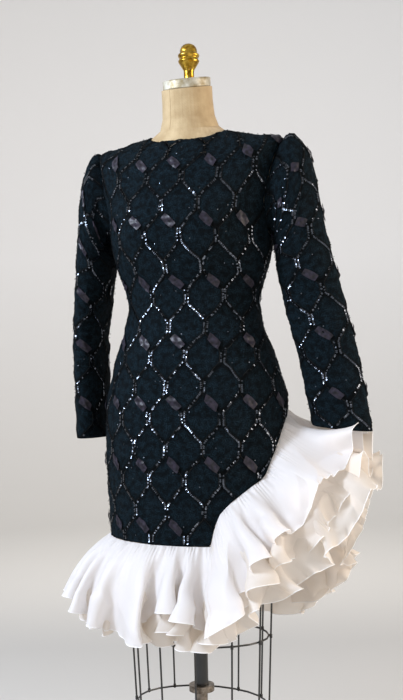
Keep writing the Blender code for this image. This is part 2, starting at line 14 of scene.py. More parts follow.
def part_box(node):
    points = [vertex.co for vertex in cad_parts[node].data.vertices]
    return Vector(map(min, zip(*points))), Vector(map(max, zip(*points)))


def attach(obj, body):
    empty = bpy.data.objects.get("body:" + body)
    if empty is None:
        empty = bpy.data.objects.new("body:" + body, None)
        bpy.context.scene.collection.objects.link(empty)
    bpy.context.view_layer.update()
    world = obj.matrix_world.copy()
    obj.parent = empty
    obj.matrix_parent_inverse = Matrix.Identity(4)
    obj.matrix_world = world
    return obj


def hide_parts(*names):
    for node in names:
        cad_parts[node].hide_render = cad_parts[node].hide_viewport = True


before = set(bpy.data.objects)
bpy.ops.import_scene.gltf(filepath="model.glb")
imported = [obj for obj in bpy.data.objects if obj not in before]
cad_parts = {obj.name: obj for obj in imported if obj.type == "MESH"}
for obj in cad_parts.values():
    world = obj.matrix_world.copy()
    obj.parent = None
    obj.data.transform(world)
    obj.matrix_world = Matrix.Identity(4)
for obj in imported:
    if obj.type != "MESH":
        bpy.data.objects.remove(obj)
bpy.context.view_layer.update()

# The studio
# A round painted cove, curved up all round so that it has no edge from any side, lit by soft daylight from
# the camera's left. The camera stands where the photographer did, to the form's left of straight ahead.

CAMERA_TURN = math.radians(22)
CAMERA_ROLL = math.radians(1.2)
CAMERA_PLACE = Vector((0.8713, -2.1178, 1.00))
PHOTO_HEIGHT = 700           # pixels
FOCAL_LENGTH = 1069          # pixels
SENSOR_HEIGHT = 36           # mm
SWEEP_FLOOR = 3.9            # radius of the sweep's flat floor
SWEEP_CURVE = 1.9
SWEEP_TOP = 3.9
SWEEP_SHADE_HEIGHT = 1.7             # height up to which its colour is darkened towards the floor, as painted shade
SWEEP_SIDES = 96
SWEEP_ARC_POINTS = 24
SWEEP_HOLE = 0.001           # radius left open at the sweep's middle
SWEEP_DROP = 0.0006          # below the base, so that the two faces never meet
MOTTLE_RANGE = (0.35, 0.68)  # of the noise, over which a mottle's two colours blend
DAYLIGHT = 0.58              # strength


def srgb(code):
    """A hex colour as the linear values that Blender's sockets take."""
    channels = [int(code[i:i + 2], 16) / 255 for i in (1, 3, 5)]
    return (*[c / 12.92 if c <= 0.04045 else ((c + 0.055) / 1.055) ** 2.4 for c in channels], 1.0)


def add_node(finish, kind, settings, links):
    """Adds a node to a material, sets its properties and sockets, and links its inputs to outputs."""
    node = finish.node_tree.nodes.new("ShaderNode" + kind)
    for name, value in settings.items():
        if isinstance(name, int) or name in node.inputs:
            node.inputs[name].default_value = value
        else:
            setattr(node, name, value)
    for name, output in links.items():
        finish.node_tree.links.new(output, node.inputs[name])
    return node


def add_finish(name, colour, roughness, **sockets):
    """A material with one shader, whose uniform values sit on the shader's own sockets."""
    finish = bpy.data.materials.new(name)
    finish.use_nodes = True
    shader = finish.node_tree.nodes["Principled BSDF"]
    shader.inputs["Base Color"].default_value = srgb(colour)
    shader.inputs["Roughness"].default_value = roughness
    for socket, value in sockets.items():
        shader.inputs[socket.replace("_", " ")].default_value = value
    return finish, shader


def add_mottle(finish, shader, colours, size, detail=4.0, coordinates="Object"):
    """Blends two colours by a noise whose patches are about size metres across, and returns the noise."""
    place = add_node(finish, "TexCoord", {}, {})
    mottle = add_node(
        finish, "TexNoise", {"Scale": 1 / size, "Detail": detail}, {"Vector": place.outputs[coordinates]}
    )
    ramp = add_node(finish, "ValToRGB", {}, {"Fac": mottle.outputs["Fac"]})
    for element, place_on_ramp, colour in zip(ramp.color_ramp.elements, MOTTLE_RANGE, colours):
        element.position = place_on_ramp
        element.color = srgb(colour)
    finish.node_tree.links.new(ramp.outputs["Color"], shader.inputs["Base Color"])
    return mottle


def add_bump(finish, shader, height, depth, strength=1.0):
    """Raises a surface by a height output, to a depth in metres."""
    bump = add_node(finish, "Bump", {"Distance": depth, "Strength": strength}, {"Height": height})
    finish.node_tree.links.new(bump.outputs["Normal"], shader.inputs["Normal"])


def add_mesh(name, points, faces, finish, uvs=None):
    """A smooth-shaded piece from arrays of points and faces, with a place on the cloth for each point."""
    mesh = bpy.data.meshes.new(name)
    corner_lists = faces if isinstance(faces, list) else faces.tolist()
    mesh.from_pydata(np.asarray(points).reshape(-1, 3).tolist(), [], corner_lists)
    mesh.shade_smooth()
    if uvs is not None:
        layer = mesh.uv_layers.new(name="cloth")
        corners = np.zeros(len(mesh.loops), dtype=int)
        mesh.loops.foreach_get("vertex_index", corners)
        layer.data.foreach_set("uv", np.asarray(uvs).reshape(-1, 2)[corners].ravel())
    mesh.materials.append(finish)
    made = bpy.data.objects.new(name, mesh)
    bpy.context.scene.collection.objects.link(made)
    return made


def grid_faces(rows, columns, wrapped_round=False):
    """The four-sided faces between the points of a grid."""
    row = np.arange(rows - 1)[:, None]
    column = np.arange(columns if wrapped_round else columns - 1)[None, :]
    after = (column + 1) % columns
    low, high = row * columns, (row + 1) * columns
    return np.stack((low + column, low + after, high + after, high + column), axis=-1).reshape(-1, 4)


def turned(name, profile, sides, finish, centre_y=0.0, lean=0.0):
    """A turned piece from a profile of radius and height, sheared down to the front by a lean."""
    turns = np.linspace(0, 2 * math.pi, sides, endpoint=False)
    radii, heights = np.array(profile, dtype=float).T
    x = radii[:, None] * np.sin(turns)
    y = -radii[:, None] * np.cos(turns)
    z = heights[:, None] + y * math.tan(lean)
    points = np.stack([x, y + centre_y, z], axis=-1)
    return add_mesh(name, points, grid_faces(len(radii), sides, True), finish)


# Matt painted plaster has no sheen. Its colour grows darker towards the floor: painted shade, for the light
# that falls off low down on the cove.
paper, paper_shader = add_finish("painted_studio_cove", "#DCDBD9", 0.95, Specular_IOR_Level=0.1)
cove_place = add_node(paper, "TexCoord", {}, {})
cove_axes = add_node(paper, "SeparateXYZ", {}, {"Vector": cove_place.outputs["Object"]})
cove_shade_share = add_node(paper, "MapRange", {"From Max": SWEEP_SHADE_HEIGHT}, {"Value": cove_axes.outputs["Z"]})
cove_painted_shade = add_node(
    paper, "MixRGB", {"Color1": srgb("#CBC9C6"), "Color2": srgb("#E2E2E3")},
    {"Fac": cove_shade_share.outputs["Result"]},
)
paper.node_tree.links.new(cove_painted_shade.outputs["Color"], paper_shader.inputs["Base Color"])
sweep_arc = [
    (SWEEP_FLOOR + SWEEP_CURVE * math.sin(turn), SWEEP_CURVE * (1 - math.cos(turn)))
    for turn in np.linspace(0, math.pi / 2, SWEEP_ARC_POINTS)
]
sweep_rim = (SWEEP_FLOOR + SWEEP_CURVE, SWEEP_TOP)
sweep_profile = [(SWEEP_HOLE, 0.0), (SWEEP_FLOOR / 2, 0.0), *sweep_arc, sweep_rim]
sweep = turned("studio_cove", sweep_profile, SWEEP_SIDES, paper)
sweep.location.z = -SWEEP_DROP

aside = Vector((math.cos(CAMERA_TURN), math.sin(CAMERA_TURN), 0))
ahead = Vector((-math.sin(CAMERA_TURN), math.cos(CAMERA_TURN), 0))
rise = Vector((0, 0, 1))
camera_up = rise * math.cos(CAMERA_ROLL) + aside * math.sin(CAMERA_ROLL)
camera_side = aside * math.cos(CAMERA_ROLL) - rise * math.sin(CAMERA_ROLL)
lens = bpy.data.cameras.new("camera")
lens.sensor_fit = "VERTICAL"
lens.sensor_height = SENSOR_HEIGHT
lens.lens = FOCAL_LENGTH / PHOTO_HEIGHT * SENSOR_HEIGHT
camera = bpy.data.objects.new("camera", lens)
bpy.context.scene.collection.objects.link(camera)
axes = Matrix((camera_side, camera_up, -ahead)).transposed().to_4x4()
camera.matrix_world = Matrix.Translation(CAMERA_PLACE) @ axes
bpy.context.scene.camera = camera

# Each light: metres to the camera's right, metres in front of the form, height, size, watts, colour, and the
# place in front of the form and the height that it points at
LIGHT_COLUMNS = ("name", "right", "front", "height", "size", "watts", "colour", "aim_front", "aim_height")
LIGHTS = [
    ("window", -1.75, 1.15, 2.05, 1.2, 20, "#F8FAFF", 0.0, 0.95),
    ("spark", -2.0, 0.95, 2.25, 0.32, 62, "#DCEBFF", 0.0, 1.0),
    ("reflector", 2.5, 0.5, 1.5, 1.4, 52, "#FFEEDC", 0.0, 1.05),
    ("floor_bounce", 0.6, 1.9, 0.4, 1.4, 9, "#FFF8F2", 0.0, 0.55),
    ("backdrop_wash", 0.0, -2.2, 2.4, 3.0, 52, "#FFFAF4", -5.8, 1.1),
]
for row in LIGHTS:
    light = dict(zip(LIGHT_COLUMNS, row))
    lamp = bpy.data.lights.new(light["name"], "AREA")
    lamp.size = light["size"]
    lamp.energy = light["watts"]
    lamp.color = srgb(light["colour"])[:3]
    lamp_holder = bpy.data.objects.new(light["name"], lamp)
    bpy.context.scene.collection.objects.link(lamp_holder)
    lamp_holder.location = aside * light["right"] - ahead * light["front"] + rise * light["height"]
    target = -ahead * light["aim_front"] + rise * light["aim_height"]
    lamp_holder.rotation_euler = (target - lamp_holder.location).to_track_quat("-Z", "Y").to_euler()

daylight = bpy.data.worlds.new("daylight")
daylight.use_nodes = True
sky = daylight.node_tree.nodes["Background"]
sky.inputs["Color"].default_value = srgb("#FFFEFC")
sky.inputs["Strength"].default_value = DAYLIGHT
bpy.context.scene.world = daylight
bpy.context.scene.view_settings.view_transform = "Standard"


# The base, post, collar and tube
# A heavy cast iron foot, stove enamelled black, carries a turned steel post. The form's enamelled tube
# slides on the post and is clamped by a steel collar. These keep their solids and get the real finishes.

LATHE_SCALE = 260.0          # of the wave, for rings 1.2 mm apart


def repaint(names, finish):
    for name in names:
        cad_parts[name].material_slots[0].material = finish


# Stoving enamel flows out smooth, so it is glossy with a faint orange-peel ripple.
enamel, enamel_shader = add_finish(
    "stoved_black_enamel", "#15181A", 0.32, Coat_Weight=0.35, Coat_Roughness=0.15
)
enamel_ripple = add_mottle(enamel, enamel_shader, ("#121517", "#1D2022"), 0.03)
add_bump(enamel, enamel_shader, enamel_ripple.outputs["Fac"], 0.0006)
repaint(["base", "support_tube"], enamel)

# Turned mild steel, oiled and browned with age, has fine rings round it that stretch its highlights.
steel, steel_shader = add_finish("turned_mild_steel", "#8A7F73", 0.38, Metallic=1.0)
add_mottle(steel, steel_shader, ("#5E544A", "#A0968A"), 0.012)
steel_place = add_node(steel, "TexCoord", {}, {})
lathe_lines = add_node(
    steel, "TexWave", {"Scale": LATHE_SCALE, "bands_direction": "Z", "Distortion": 0.6},
    {"Vector": steel_place.outputs["Object"]},
)
add_bump(steel, steel_shader, lathe_lines.outputs["Fac"], 0.0001)
repaint(["post", "collar"], steel)


# The wire cage
# Straight steel wires hang from the torso's rim and are tied to three hoops, all dipped in black enamel. The
# wires and hoops keep their solids, and each crossing gets the short binding that holds it.

CAGE_TOP_Z = 0.80
CAGE_BOTTOM_Z = 0.244
CAGE_TOP = (0.172, 0.128)
CAGE_BOTTOM = (0.147, 0.108)
CAGE_WIRES = 12
FIRST_WIRE = 12              # degrees
BINDING_RADIUS = 0.0031
BINDING_LENGTH = 0.011
BINDING_POINTS = 8
BINDING_SIDES = 8
TUBE_TIP = 0.2               # of a tube's radius, left at each of its ends
TUBE_LEAD = (0.31, 0.52, 0.80)  # a direction that no tube here follows
HOOPS = [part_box(f"cage_ring_{i}") for i in (1, 2, 3)]

# Dipped wire enamel is thinner and a little duller than the foot's.
wire_enamel, wire_shader = add_finish("dipped_wire_enamel", "#17191B", 0.42, Coat_Weight=0.2)
add_mottle(wire_enamel, wire_shader, ("#131516", "#24221F"), 0.01)
repaint([f"cage_wire_{i + 1:02d}" for i in range(CAGE_WIRES)], wire_enamel)
repaint(["cage_ring_1", "cage_ring_2", "cage_ring_3"], wire_enamel)


def tube(path, radius, sides):
    """The points and faces of an open tube along a path, drawn in at each end."""
    path = np.asarray(path, dtype=float)
    ways = np.gradient(path, axis=0)
    ways /= np.linalg.norm(ways, axis=1)[:, None]
    across = np.cross(ways, TUBE_LEAD)
    across /= np.linalg.norm(across, axis=1)[:, None]
    other = np.cross(ways, across)
    turns = np.linspace(0, 2 * math.pi, sides, endpoint=False)
    radii = np.full(len(path), radius)
    radii[[0, -1]] = radius * TUBE_TIP
    ring = np.cos(turns)[None, :, None] * across[:, None] + np.sin(turns)[None, :, None] * other[:, None]
    return path[:, None] + ring * radii[:, None, None], grid_faces(len(path), sides, True)


def add_joined(name, parts, finish):
    """One piece from many lots of points and faces."""
    points, faces, count = [], [], 0
    for part_points, part_faces in parts:
        part_points = np.asarray(part_points).reshape(-1, 3)
        points.append(part_points)
        faces += (np.asarray(part_faces) + count).tolist()
        count += len(part_points)
    return add_mesh(name, np.concatenate(points), faces, finish)


bindings = []
for low, high in HOOPS:
    middle = (low.z + high.z) / 2
    share = (CAGE_TOP_Z - middle) / (CAGE_TOP_Z - CAGE_BOTTOM_Z)
    wide, deep = [top + (bottom - top) * share for top, bottom in zip(CAGE_TOP, CAGE_BOTTOM)]
    for i in range(CAGE_WIRES):
        turn = math.radians(FIRST_WIRE + 360 * i / CAGE_WIRES)
        spot = np.array([wide * math.sin(turn), -deep * math.cos(turn), middle])
        reach = np.array([0.0, 0.0, BINDING_LENGTH / 2])
        steps = np.linspace(-1, 1, BINDING_POINTS)[:, None]
        bindings.append(tube(spot + steps * reach, BINDING_RADIUS, BINDING_SIDES))
cage_bindings = add_joined("cage_bindings", bindings, wire_enamel)
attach(cage_bindings, "form")


# The torso
# Papier mache covered in unbleached linen, pieced with narrow seams. Only its neck shows above the dress,
# warm and a little stained by handling. Its seams stand as thin welts.

NECK_COLUMNS = ("z", "half_width", "half_depth", "centre_y")
NECK = [
    (1.474, 0.0630, 0.0620, -0.003),
    (1.497, 0.0560, 0.0555, -0.007),
    (1.528, 0.0540, 0.0540, -0.011),
    (1.557, 0.0540, 0.0540, -0.014),
]
CAP_TILT = math.radians(12)
NECK_SEAMS = (-20, 180)      # degrees
WELT_RADIUS = 0.0007
WELT_POINTS = 24
WELT_SIDES = 6
WAVE_RATE = 20               # radians to a metre, in a wave texture of scale 1
LINEN_RIDGE = 0.0009         # metres to a radian, for ridges 5.7 mm apart; real threads are too fine to show

# Unbleached plain-weave linen: matt, warm, with slubby threads and grey handling marks.
linen, linen_shader = add_finish("unbleached_linen", "#B59D78", 0.85, Sheen_Weight=0.15)
add_mottle(linen, linen_shader, ("#A88F69", "#C1AA84"), 0.035)
linen_place = add_node(linen, "TexCoord", {}, {})
weft, warp = [
    add_node(
        linen, "TexWave", {"Scale": 1 / LINEN_RIDGE / WAVE_RATE, "bands_direction": way, "Distortion": 1.5},
        {"Vector": linen_place.outputs["Object"]},
    )
    for way in ("Z", "X")
]
weave = add_node(
    linen, "Math", {"operation": "MAXIMUM"}, {0: weft.outputs["Fac"], 1: warp.outputs["Fac"]}
)
add_bump(linen, linen_shader, weave.outputs["Value"], 0.0003, 0.6)
repaint(["form_torso"], linen)

welts = []
for angle in NECK_SEAMS:
    turn = math.radians(angle)
    spots = []
    for row in NECK:
        ring = dict(zip(NECK_COLUMNS, row))
        x = ring["half_width"] * math.sin(turn)
        y = -ring["half_depth"] * math.cos(turn)
        spots.append((x, ring["centre_y"] + y, ring["z"] + y * math.tan(CAP_TILT)))
    steps = np.linspace(0, len(spots) - 1, WELT_POINTS)
    path = np.stack([np.interp(steps, range(len(spots)), axis) for axis in np.array(spots).T], axis=-1)
    welts.append(tube(path, WELT_RADIUS, WELT_SIDES))
neck_seams = add_joined("neck_seams", welts, linen)
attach(neck_seams, "form")


# The neck cap
# A spun sheet steel cap, once painted grey, rubbed through to bare and rusty metal along its edges and on
# the side that hands reach. It leans forward with the neck.

CAP_SIDES = 72
CAP_Z = NECK[-1][NECK_COLUMNS.index("z")] + 0.0005
CAP_Y = NECK[-1][NECK_COLUMNS.index("centre_y")]
# Radius and height
CAP_PROFILE = [
    (0.0492, 0.0000), (0.0506, 0.0004), (0.0511, 0.0020), (0.0509, 0.0045), (0.0508, 0.0140),
    (0.0510, 0.0168), (0.0503, 0.0188), (0.0488, 0.0198), (0.0440, 0.0203), (0.0250, 0.0207),
    (0.0115, 0.0208), (0.0020, 0.0208),
]

# Old grey paint on steel: chalky where it survives, dark and rougher where rust has come through.
cap_paint, cap_shader = add_finish("worn_grey_paint_on_steel", "#C9C5B4", 0.5, Metallic=0.35)
cap_wear = add_mottle(cap_paint, cap_shader, ("#8C7C58", "#D3D0C2"), 0.02, detail=6.0)
add_bump(cap_paint, cap_shader, cap_wear.outputs["Fac"], 0.001)
cap_rings = [(r, CAP_Z + z) for r, z in CAP_PROFILE]
neck_cap = turned("spun_neck_cap", cap_rings, CAP_SIDES, cap_paint, CAP_Y, CAP_TILT)
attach(neck_cap, "form")
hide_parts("neck_cap")


# The finial
# A solid brass acorn knob, turned with two flanges and a domed top, on a short stem that a set screw holds.
# Years of handling left it yellow where it is rubbed and brown in its grooves.

FINIAL_SIDES = 64
FINIAL_Z = CAP_Z + CAP_PROFILE[-1][1] + 0.0025
FINIAL_PROFILE = [
    (0.0110, 0.0000), (0.0110, 0.0150), (0.0118, 0.0185), (0.0150, 0.0240), (0.0190, 0.0305),
    (0.0216, 0.0345), (0.0226, 0.0370), (0.0224, 0.0390), (0.0208, 0.0408), (0.0203, 0.0430),
    (0.0206, 0.0452), (0.0224, 0.0472), (0.0231, 0.0498), (0.0222, 0.0522), (0.0196, 0.0540),
    (0.0184, 0.0560), (0.0186, 0.0585), (0.0180, 0.0625), (0.0160, 0.0675), (0.0125, 0.0715),
    (0.0075, 0.0742), (0.0020, 0.0752),
]
SCREW_HEIGHT = 0.0195
SCREW_TURN = math.radians(38)
SCREW_RADIUS = 0.0022
SCREW_START = 0.0105         # from the finial's axis
SCREW_REACH = 0.0021
SCREW_POINTS = 4
SCREW_SIDES = 12

# Cast and turned brass, unlacquered: sharp warm highlights over a brown tarnish.
brass, brass_shader = add_finish("unlacquered_brass", "#C39A35", 0.28, Metallic=1.0)
brass_tarnish = add_mottle(brass, brass_shader, ("#8A6418", "#D9B44C"), 0.009)
add_bump(brass, brass_shader, brass_tarnish.outputs["Fac"], 0.0004)
finial = turned("acorn_finial", [(r, FINIAL_Z + z) for r, z in FINIAL_PROFILE], FINIAL_SIDES, brass)
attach(finial, "form")
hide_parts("finial")

screw_way = np.array([math.sin(SCREW_TURN), -math.cos(SCREW_TURN), 0.0])
screw_start = np.array([0.0, 0.0, FINIAL_Z + SCREW_HEIGHT]) + screw_way * SCREW_START
screw_path = screw_start + np.linspace(0, SCREW_REACH, SCREW_POINTS)[:, None] * screw_way
finial_screw = add_joined("finial_set_screw", [tube(screw_path, SCREW_RADIUS, SCREW_SIDES)], wire_enamel)
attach(finial_screw, "form")


# The body of the dress
# One front and two backs, cut from black ribbon lace mounted on a dull black lining and seamed at the sides,
# shoulders and centre back. The hem, neck and cuffs are turned in. The lace is raised a little along its
# zigzag lattice and fuzzy between.

WAIST = 1.09
UNDERARM = 1.235
SHOULDER = 1.435
NECKLINE = 1.563
ARMHOLE_DIP = 19             # degrees that the armhole cuts into the front and the back
ARMHOLE_MIDDLE = (SHOULDER + UNDERARM) / 2
ARMHOLE_HALF = (SHOULDER - UNDERARM) / 2
SIDE_RISE = 4                # how late a section's rim turns up towards the side
BUST_ANGLE = 26
BUST_SPREAD = 16
BUST_Z = 1.243
BUST_HEIGHT = 0.055
BUST_PUSH = 0.012
SEAM_TRIM = 0.05             # degrees left between panels
GRID = 0.0038                # the cloth's mesh, in metres
FACING_ROWS = 5              # of the mesh, on the turned-in edges
FACING_INSET = 0.0018
BODY_COLUMNS = ("up", "front_z", "side_z", "back_z", "half_width", "front", "back")
BODY = [
    (0.560, 0.560, 0.560, 0.560, 0.1940, 0.140, 0.150),
    (0.606, 0.606, 0.606, 0.606, 0.1950, 0.142, 0.152),
    (0.700, 0.700, 0.700, 0.700, 0.2000, 0.144, 0.156),
    (0.790, 0.790, 0.790, 0.790, 0.2025, 0.145, 0.160),
    (0.880, 0.880, 0.880, 0.880, 0.2000, 0.142, 0.160),
    (0.914, 0.914, 0.914, 0.914, 0.1955, 0.139, 0.156),
    (0.946, 0.946, 0.946, 0.946, 0.1860, 0.135, 0.149),
    (0.979, 0.979, 0.979, 0.979, 0.1770, 0.130, 0.140),
    (1.011, 1.011, 1.011, 1.011, 0.1650, 0.124, 0.130),
    (1.043, 1.043, 1.043, 1.043, 0.1530, 0.117, 0.119),
    (1.090, 1.090, 1.090, 1.090, 0.1455, 0.112, 0.110),
    (1.139, 1.139, 1.139, 1.139, 0.1530, 0.117, 0.112),
    (1.171, 1.171, 1.171, 1.171, 0.1660, 0.129, 0.115),
    (1.210, 1.210, 1.210, 1.210, 0.1750, 0.139, 0.118),
    (1.235, 1.235, 1.235, 1.235, 0.1780, 0.143, 0.120),
    (1.300, 1.287, 1.300, 1.292, 0.1860, 0.144, 0.122),
    (1.365, 1.333, 1.365, 1.350, 0.1990, 0.134, 0.120),
    (1.435, 1.376, 1.432, 1.403, 0.2090, 0.118, 0.110),
    (1.497, 1.409, 1.448, 1.437, 0.1480, 0.099, 0.097),
    (1.563, 1.437, 1.461, 1.468, 0.0860, 0.078, 0.076),
]
HEM_COLUMNS = ("angle", "height", "depth", "flare_seam", "flare_edge", "sweep")
HEM = [
    (-180, 0.606, 0.205, 50, -8, 0),
    (-130, 0.606, 0.205, 54, -12, 0),
    (-68, 0.606, 0.210, 58, -14, 0),
    (0, 0.606, 0.205, 48, -4, 0),
    (23.4, 0.606, 0.205, 44, 8, 4),
    (26.1, 0.640, 0.210, 46, 16, 12),
    (30, 0.672, 0.215, 50, 22, 22),
    (49, 0.721, 0.220, 58, 26, 26),
    (60, 0.742, 0.220, 62, 34, 20),
    (67, 0.776, 0.220, 66, 44, 14),
    (75, 0.810, 0.215, 66, 62, 6),
    (88, 0.853, 0.205, 56, 86, 2),
    (105, 0.871, 0.196, 50, 90, 0),
    (120, 0.772, 0.226, 54, 44, -10),
    (135, 0.676, 0.248, 56, 22, -12),
    (150, 0.618, 0.244, 54, 4, -8),
    (165, 0.606, 0.222, 50, -4, -4),
    (180, 0.606, 0.205, 50, -8, 0),
]
# Soft troughs and ridges where the worn cloth pulls: by angle, place up the side, reach along and across the
# crease in metres, depth in metres (a ridge has a minus) and degrees that it slants
CREASE_RADIUS = 0.17         # of the body, by which a crease's angle becomes a distance
CREASE_COLUMNS = ("angle", "up", "long", "wide", "depth", "slant")
CREASES = [
    (50, 0.985, 0.110, 0.0035, 0.0016, 84),
    (-50, 0.985, 0.110, 0.0035, 0.0016, 96),
    (62, 1.085, 0.050, 0.0075, 0.0026, 12),
    (74, 1.060, 0.042, 0.0065, -0.0020, 16),
    (70, 1.112, 0.046, 0.0070, 0.0022, 8),
    (-62, 1.080, 0.048, 0.0070, 0.0024, -10),
    (-74, 1.104, 0.040, 0.0060, 0.0020, -14),
    (-70, 1.050, 0.050, 0.0070, -0.0018, -8),
    (58, 1.350, 0.055, 0.0080, 0.0026, 66),
    (-57, 1.355, 0.050, 0.0080, 0.0026, 112),
    (66, 1.290, 0.045, 0.0070, 0.0022, 40),
    (-66, 1.285, 0.042, 0.0070, 0.0020, 140),
    (36, 1.175, 0.050, 0.0090, 0.0015, 60),
    (-34, 1.170, 0.046, 0.0090, 0.0014, 118),
    (128, 1.080, 0.060, 0.0080, 0.0024, 6),
    (-126, 1.085, 0.056, 0.0080, 0.0022, -8),
    (150, 1.120, 0.050, 0.0070, -0.0016, 10),
    (-148, 1.060, 0.052, 0.0070, 0.0018, -6),
    (140, 0.980, 0.110, 0.0035, 0.0016, 90),
    (-140, 0.980, 0.110, 0.0035, 0.0016, 90),
]


def columns_of(table, names):
    """A table's columns by name, as arrays."""
    return dict(zip(names, np.array(table, dtype=float).T))


def curve(x, xs, ys):
    """A smooth curve through the points xs, ys that never swings past them, read at every x."""
    steps = np.diff(xs)
    slopes = np.diff(ys) / steps
    same_way = slopes[:-1] * slopes[1:] > 0
    sums = np.where(same_way, slopes[:-1] + slopes[1:], 1.0)
    between = np.where(same_way, 2 * slopes[:-1] * slopes[1:] / sums, 0.0)
    tangents = np.concatenate([[slopes[0]], between, [slopes[-1]]])
    i = np.clip(np.searchsorted(xs, x) - 1, 0, len(xs) - 2)
    t = (x - xs[i]) / steps[i]
    before = ys[i] * (1 + 2 * t) * (1 - t) ** 2 + steps[i] * tangents[i] * t * (1 - t) ** 2
    after = ys[i + 1] * t * t * (3 - 2 * t) + steps[i] * tangents[i + 1] * t * t * (t - 1)
    return before + after


body_columns = columns_of(BODY, BODY_COLUMNS)
hem_columns = columns_of(HEM, HEM_COLUMNS)
crease_rows = [dict(zip(CREASE_COLUMNS, row)) for row in CREASES]


def body_at(name, up):
    return curve(up, body_columns["up"], body_columns[name])


def hem_at(name, angle):
    return curve(wrapped(angle), hem_columns["angle"], hem_columns[name])


def wrapped(angle):
    """The same angle between -180 and 180 degrees."""
    return (np.asarray(angle) + 180) % 360 - 180


def unit(vectors):
    return vectors / np.linalg.norm(vectors, axis=-1, keepdims=True)


def body_points(angle, up):
    """Points on the dress's outer face, by angle and by place up the side seam and along the shoulder."""
    angle, up = np.broadcast_arrays(wrapped(angle), np.asarray(up, dtype=float))
    turn = np.radians(angle)
    in_front = np.cos(turn) > 0
    end_z = np.where(in_front, body_at("front_z", up), body_at("back_z", up))
    z = end_z + (body_at("side_z", up) - end_z) * np.abs(np.sin(turn)) ** SIDE_RISE
    deep = np.where(in_front, body_at("front", up), body_at("back", up))
    across = (np.abs(angle) - BUST_ANGLE) / BUST_SPREAD
    high = (z - BUST_Z) / BUST_HEIGHT
    push = BUST_PUSH * np.exp(-across ** 2 - high ** 2)
    x = (body_at("half_width", up) + push) * np.sin(turn)
    y = -(deep + push) * np.cos(turn)
    return np.stack([x, y, z], axis=-1)


def body_normals(angle, up):
    """The outward directions of the dress's outer face."""
    turn_step = 0.5
    up_step = 0.001
    along = body_points(angle + turn_step, up) - body_points(angle - turn_step, up)
    climb = body_points(angle, up + up_step) - body_points(angle, up - up_step)
    return unit(np.cross(along, climb))


def dip_at(up):
    """How far an armhole cuts into a panel at each height, in degrees."""
    across = np.clip((up - ARMHOLE_MIDDLE) / ARMHOLE_HALF, -1, 1)
    return ARMHOLE_DIP * np.sqrt(1 - across ** 2)


def running_lengths(points):
    """How far along a line of points each one lies."""
    return np.concatenate([[0.0], np.cumsum(np.linalg.norm(np.diff(points, axis=0), axis=-1))])


def grid_cloth(points, middle_column):
    """How far round from the middle column and how far up it each point of a grid lies."""
    steps = np.linalg.norm(np.diff(points, axis=1), axis=-1)
    rounds = np.concatenate([np.zeros((len(points), 1)), np.cumsum(steps, axis=1)], axis=1)
    return rounds - rounds[:, [middle_column]], running_lengths(points[:, middle_column])


def read_grid(values, row, column):
    """A grid's values between its rows and columns."""
    low = np.clip(row.astype(int), 0, values.shape[0] - 2)
    left = np.clip(column.astype(int), 0, values.shape[1] - 2)
    r, c = row - low, column - left
    if values.ndim > 2:
        r, c = r[..., None], c[..., None]
    return (
        values[low, left] * (1 - r) * (1 - c) + values[low + 1, left] * r * (1 - c)
        + values[low, left + 1] * (1 - r) * c + values[low + 1, left + 1] * r * c
    )


# The lace's pattern: pointed cells in rows, drawn by zigzag strands that run down the cloth in pairs along
# each short upright link.
CELL_HALF = 0.0385           # across the cloth
LINK = 0.026                 # length of a link
RISE = 0.0365                # that a strand climbs or falls from one link to the next
PERIOD = 2 * (LINK + RISE)
BAND_WIDTH = 0.0072
BAND_HEIGHT = 0.0014
BAND_FUZZ = 0.7              # share of the band's height that the fuzz adds or takes
FUZZ_HEIGHT = 0.0012
FUZZ_SIZE = 0.007


def folded(x, period):
    """x as a distance from the nearest multiple of the period."""
    return np.abs((x + period / 2) % period - period / 2)


def lattice_distance(across, high):
    """How far each place on the cloth is from the lattice's nearest line, in metres."""
    cells = across / CELL_HALF
    left = np.floor(cells)
    share = cells - left
    low_left = np.where(left % 2 == 0, 0.0, PERIOD / 2)
    low_right = low_left - PERIOD / 2
    slope = CELL_HALF / math.hypot(CELL_HALF, RISE)
    falling = folded(high - (low_left - RISE * share), PERIOD) * slope
    rising = folded(high - (low_right - RISE * (1 - share)), PERIOD) * slope
    beside_left = np.maximum(folded(high - low_left - LINK / 2, PERIOD) - LINK / 2, 0)
    beside_right = np.maximum(folded(high - low_right - LINK / 2, PERIOD) - LINK / 2, 0)
    near_left = np.hypot(share * CELL_HALF, beside_left)
    near_right = np.hypot((1 - share) * CELL_HALF, beside_right)
    return np.minimum(np.minimum(falling, rising), np.minimum(near_left, near_right))


LATTICE_ACROSS = -0.0085     # where a link's line crosses the centre front, from it
LATTICE_HIGH = -0.305        # where that link's lower end lies, from the waist


def lace_height(points, across, high):
    """How far the lace stands off its lining: along the lattice, and in an uneven fuzz between."""
    band = BAND_HEIGHT * np.exp(-(lattice_distance(across, high) / BAND_WIDTH) ** 2)
    fuzz = np.array([noise.noise(Vector(p) / FUZZ_SIZE) for p in points.reshape(-1, 3)])
    fuzz = fuzz.reshape(points.shape[:-1])
    return band * (1 + BAND_FUZZ * fuzz) + FUZZ_HEIGHT * fuzz


def crease(x, y, row):
    """How deep one crease of a table is at a distance across and up from its middle."""
    slant = math.radians(row["slant"])
    along = x * math.cos(slant) + y * math.sin(slant)
    beside = -x * math.sin(slant) + y * math.cos(slant)
    return row["depth"] * np.exp(-(along / row["long"]) ** 2 - (beside / row["wide"]) ** 2)


def crease_depth(angle, up):
    """How far the body's creases push its face in."""
    depth = np.zeros(np.broadcast(angle, up).shape)
    for row in crease_rows:
        across = np.radians(wrapped(angle - row["angle"])) * CREASE_RADIUS
        depth += crease(across, up - row["up"], row)
    return depth


def worn_points(angle, up, normals):
    """Points on the dress's face, pushed in by its creases."""
    return body_points(angle, up) - normals * crease_depth(angle, up)[..., None]


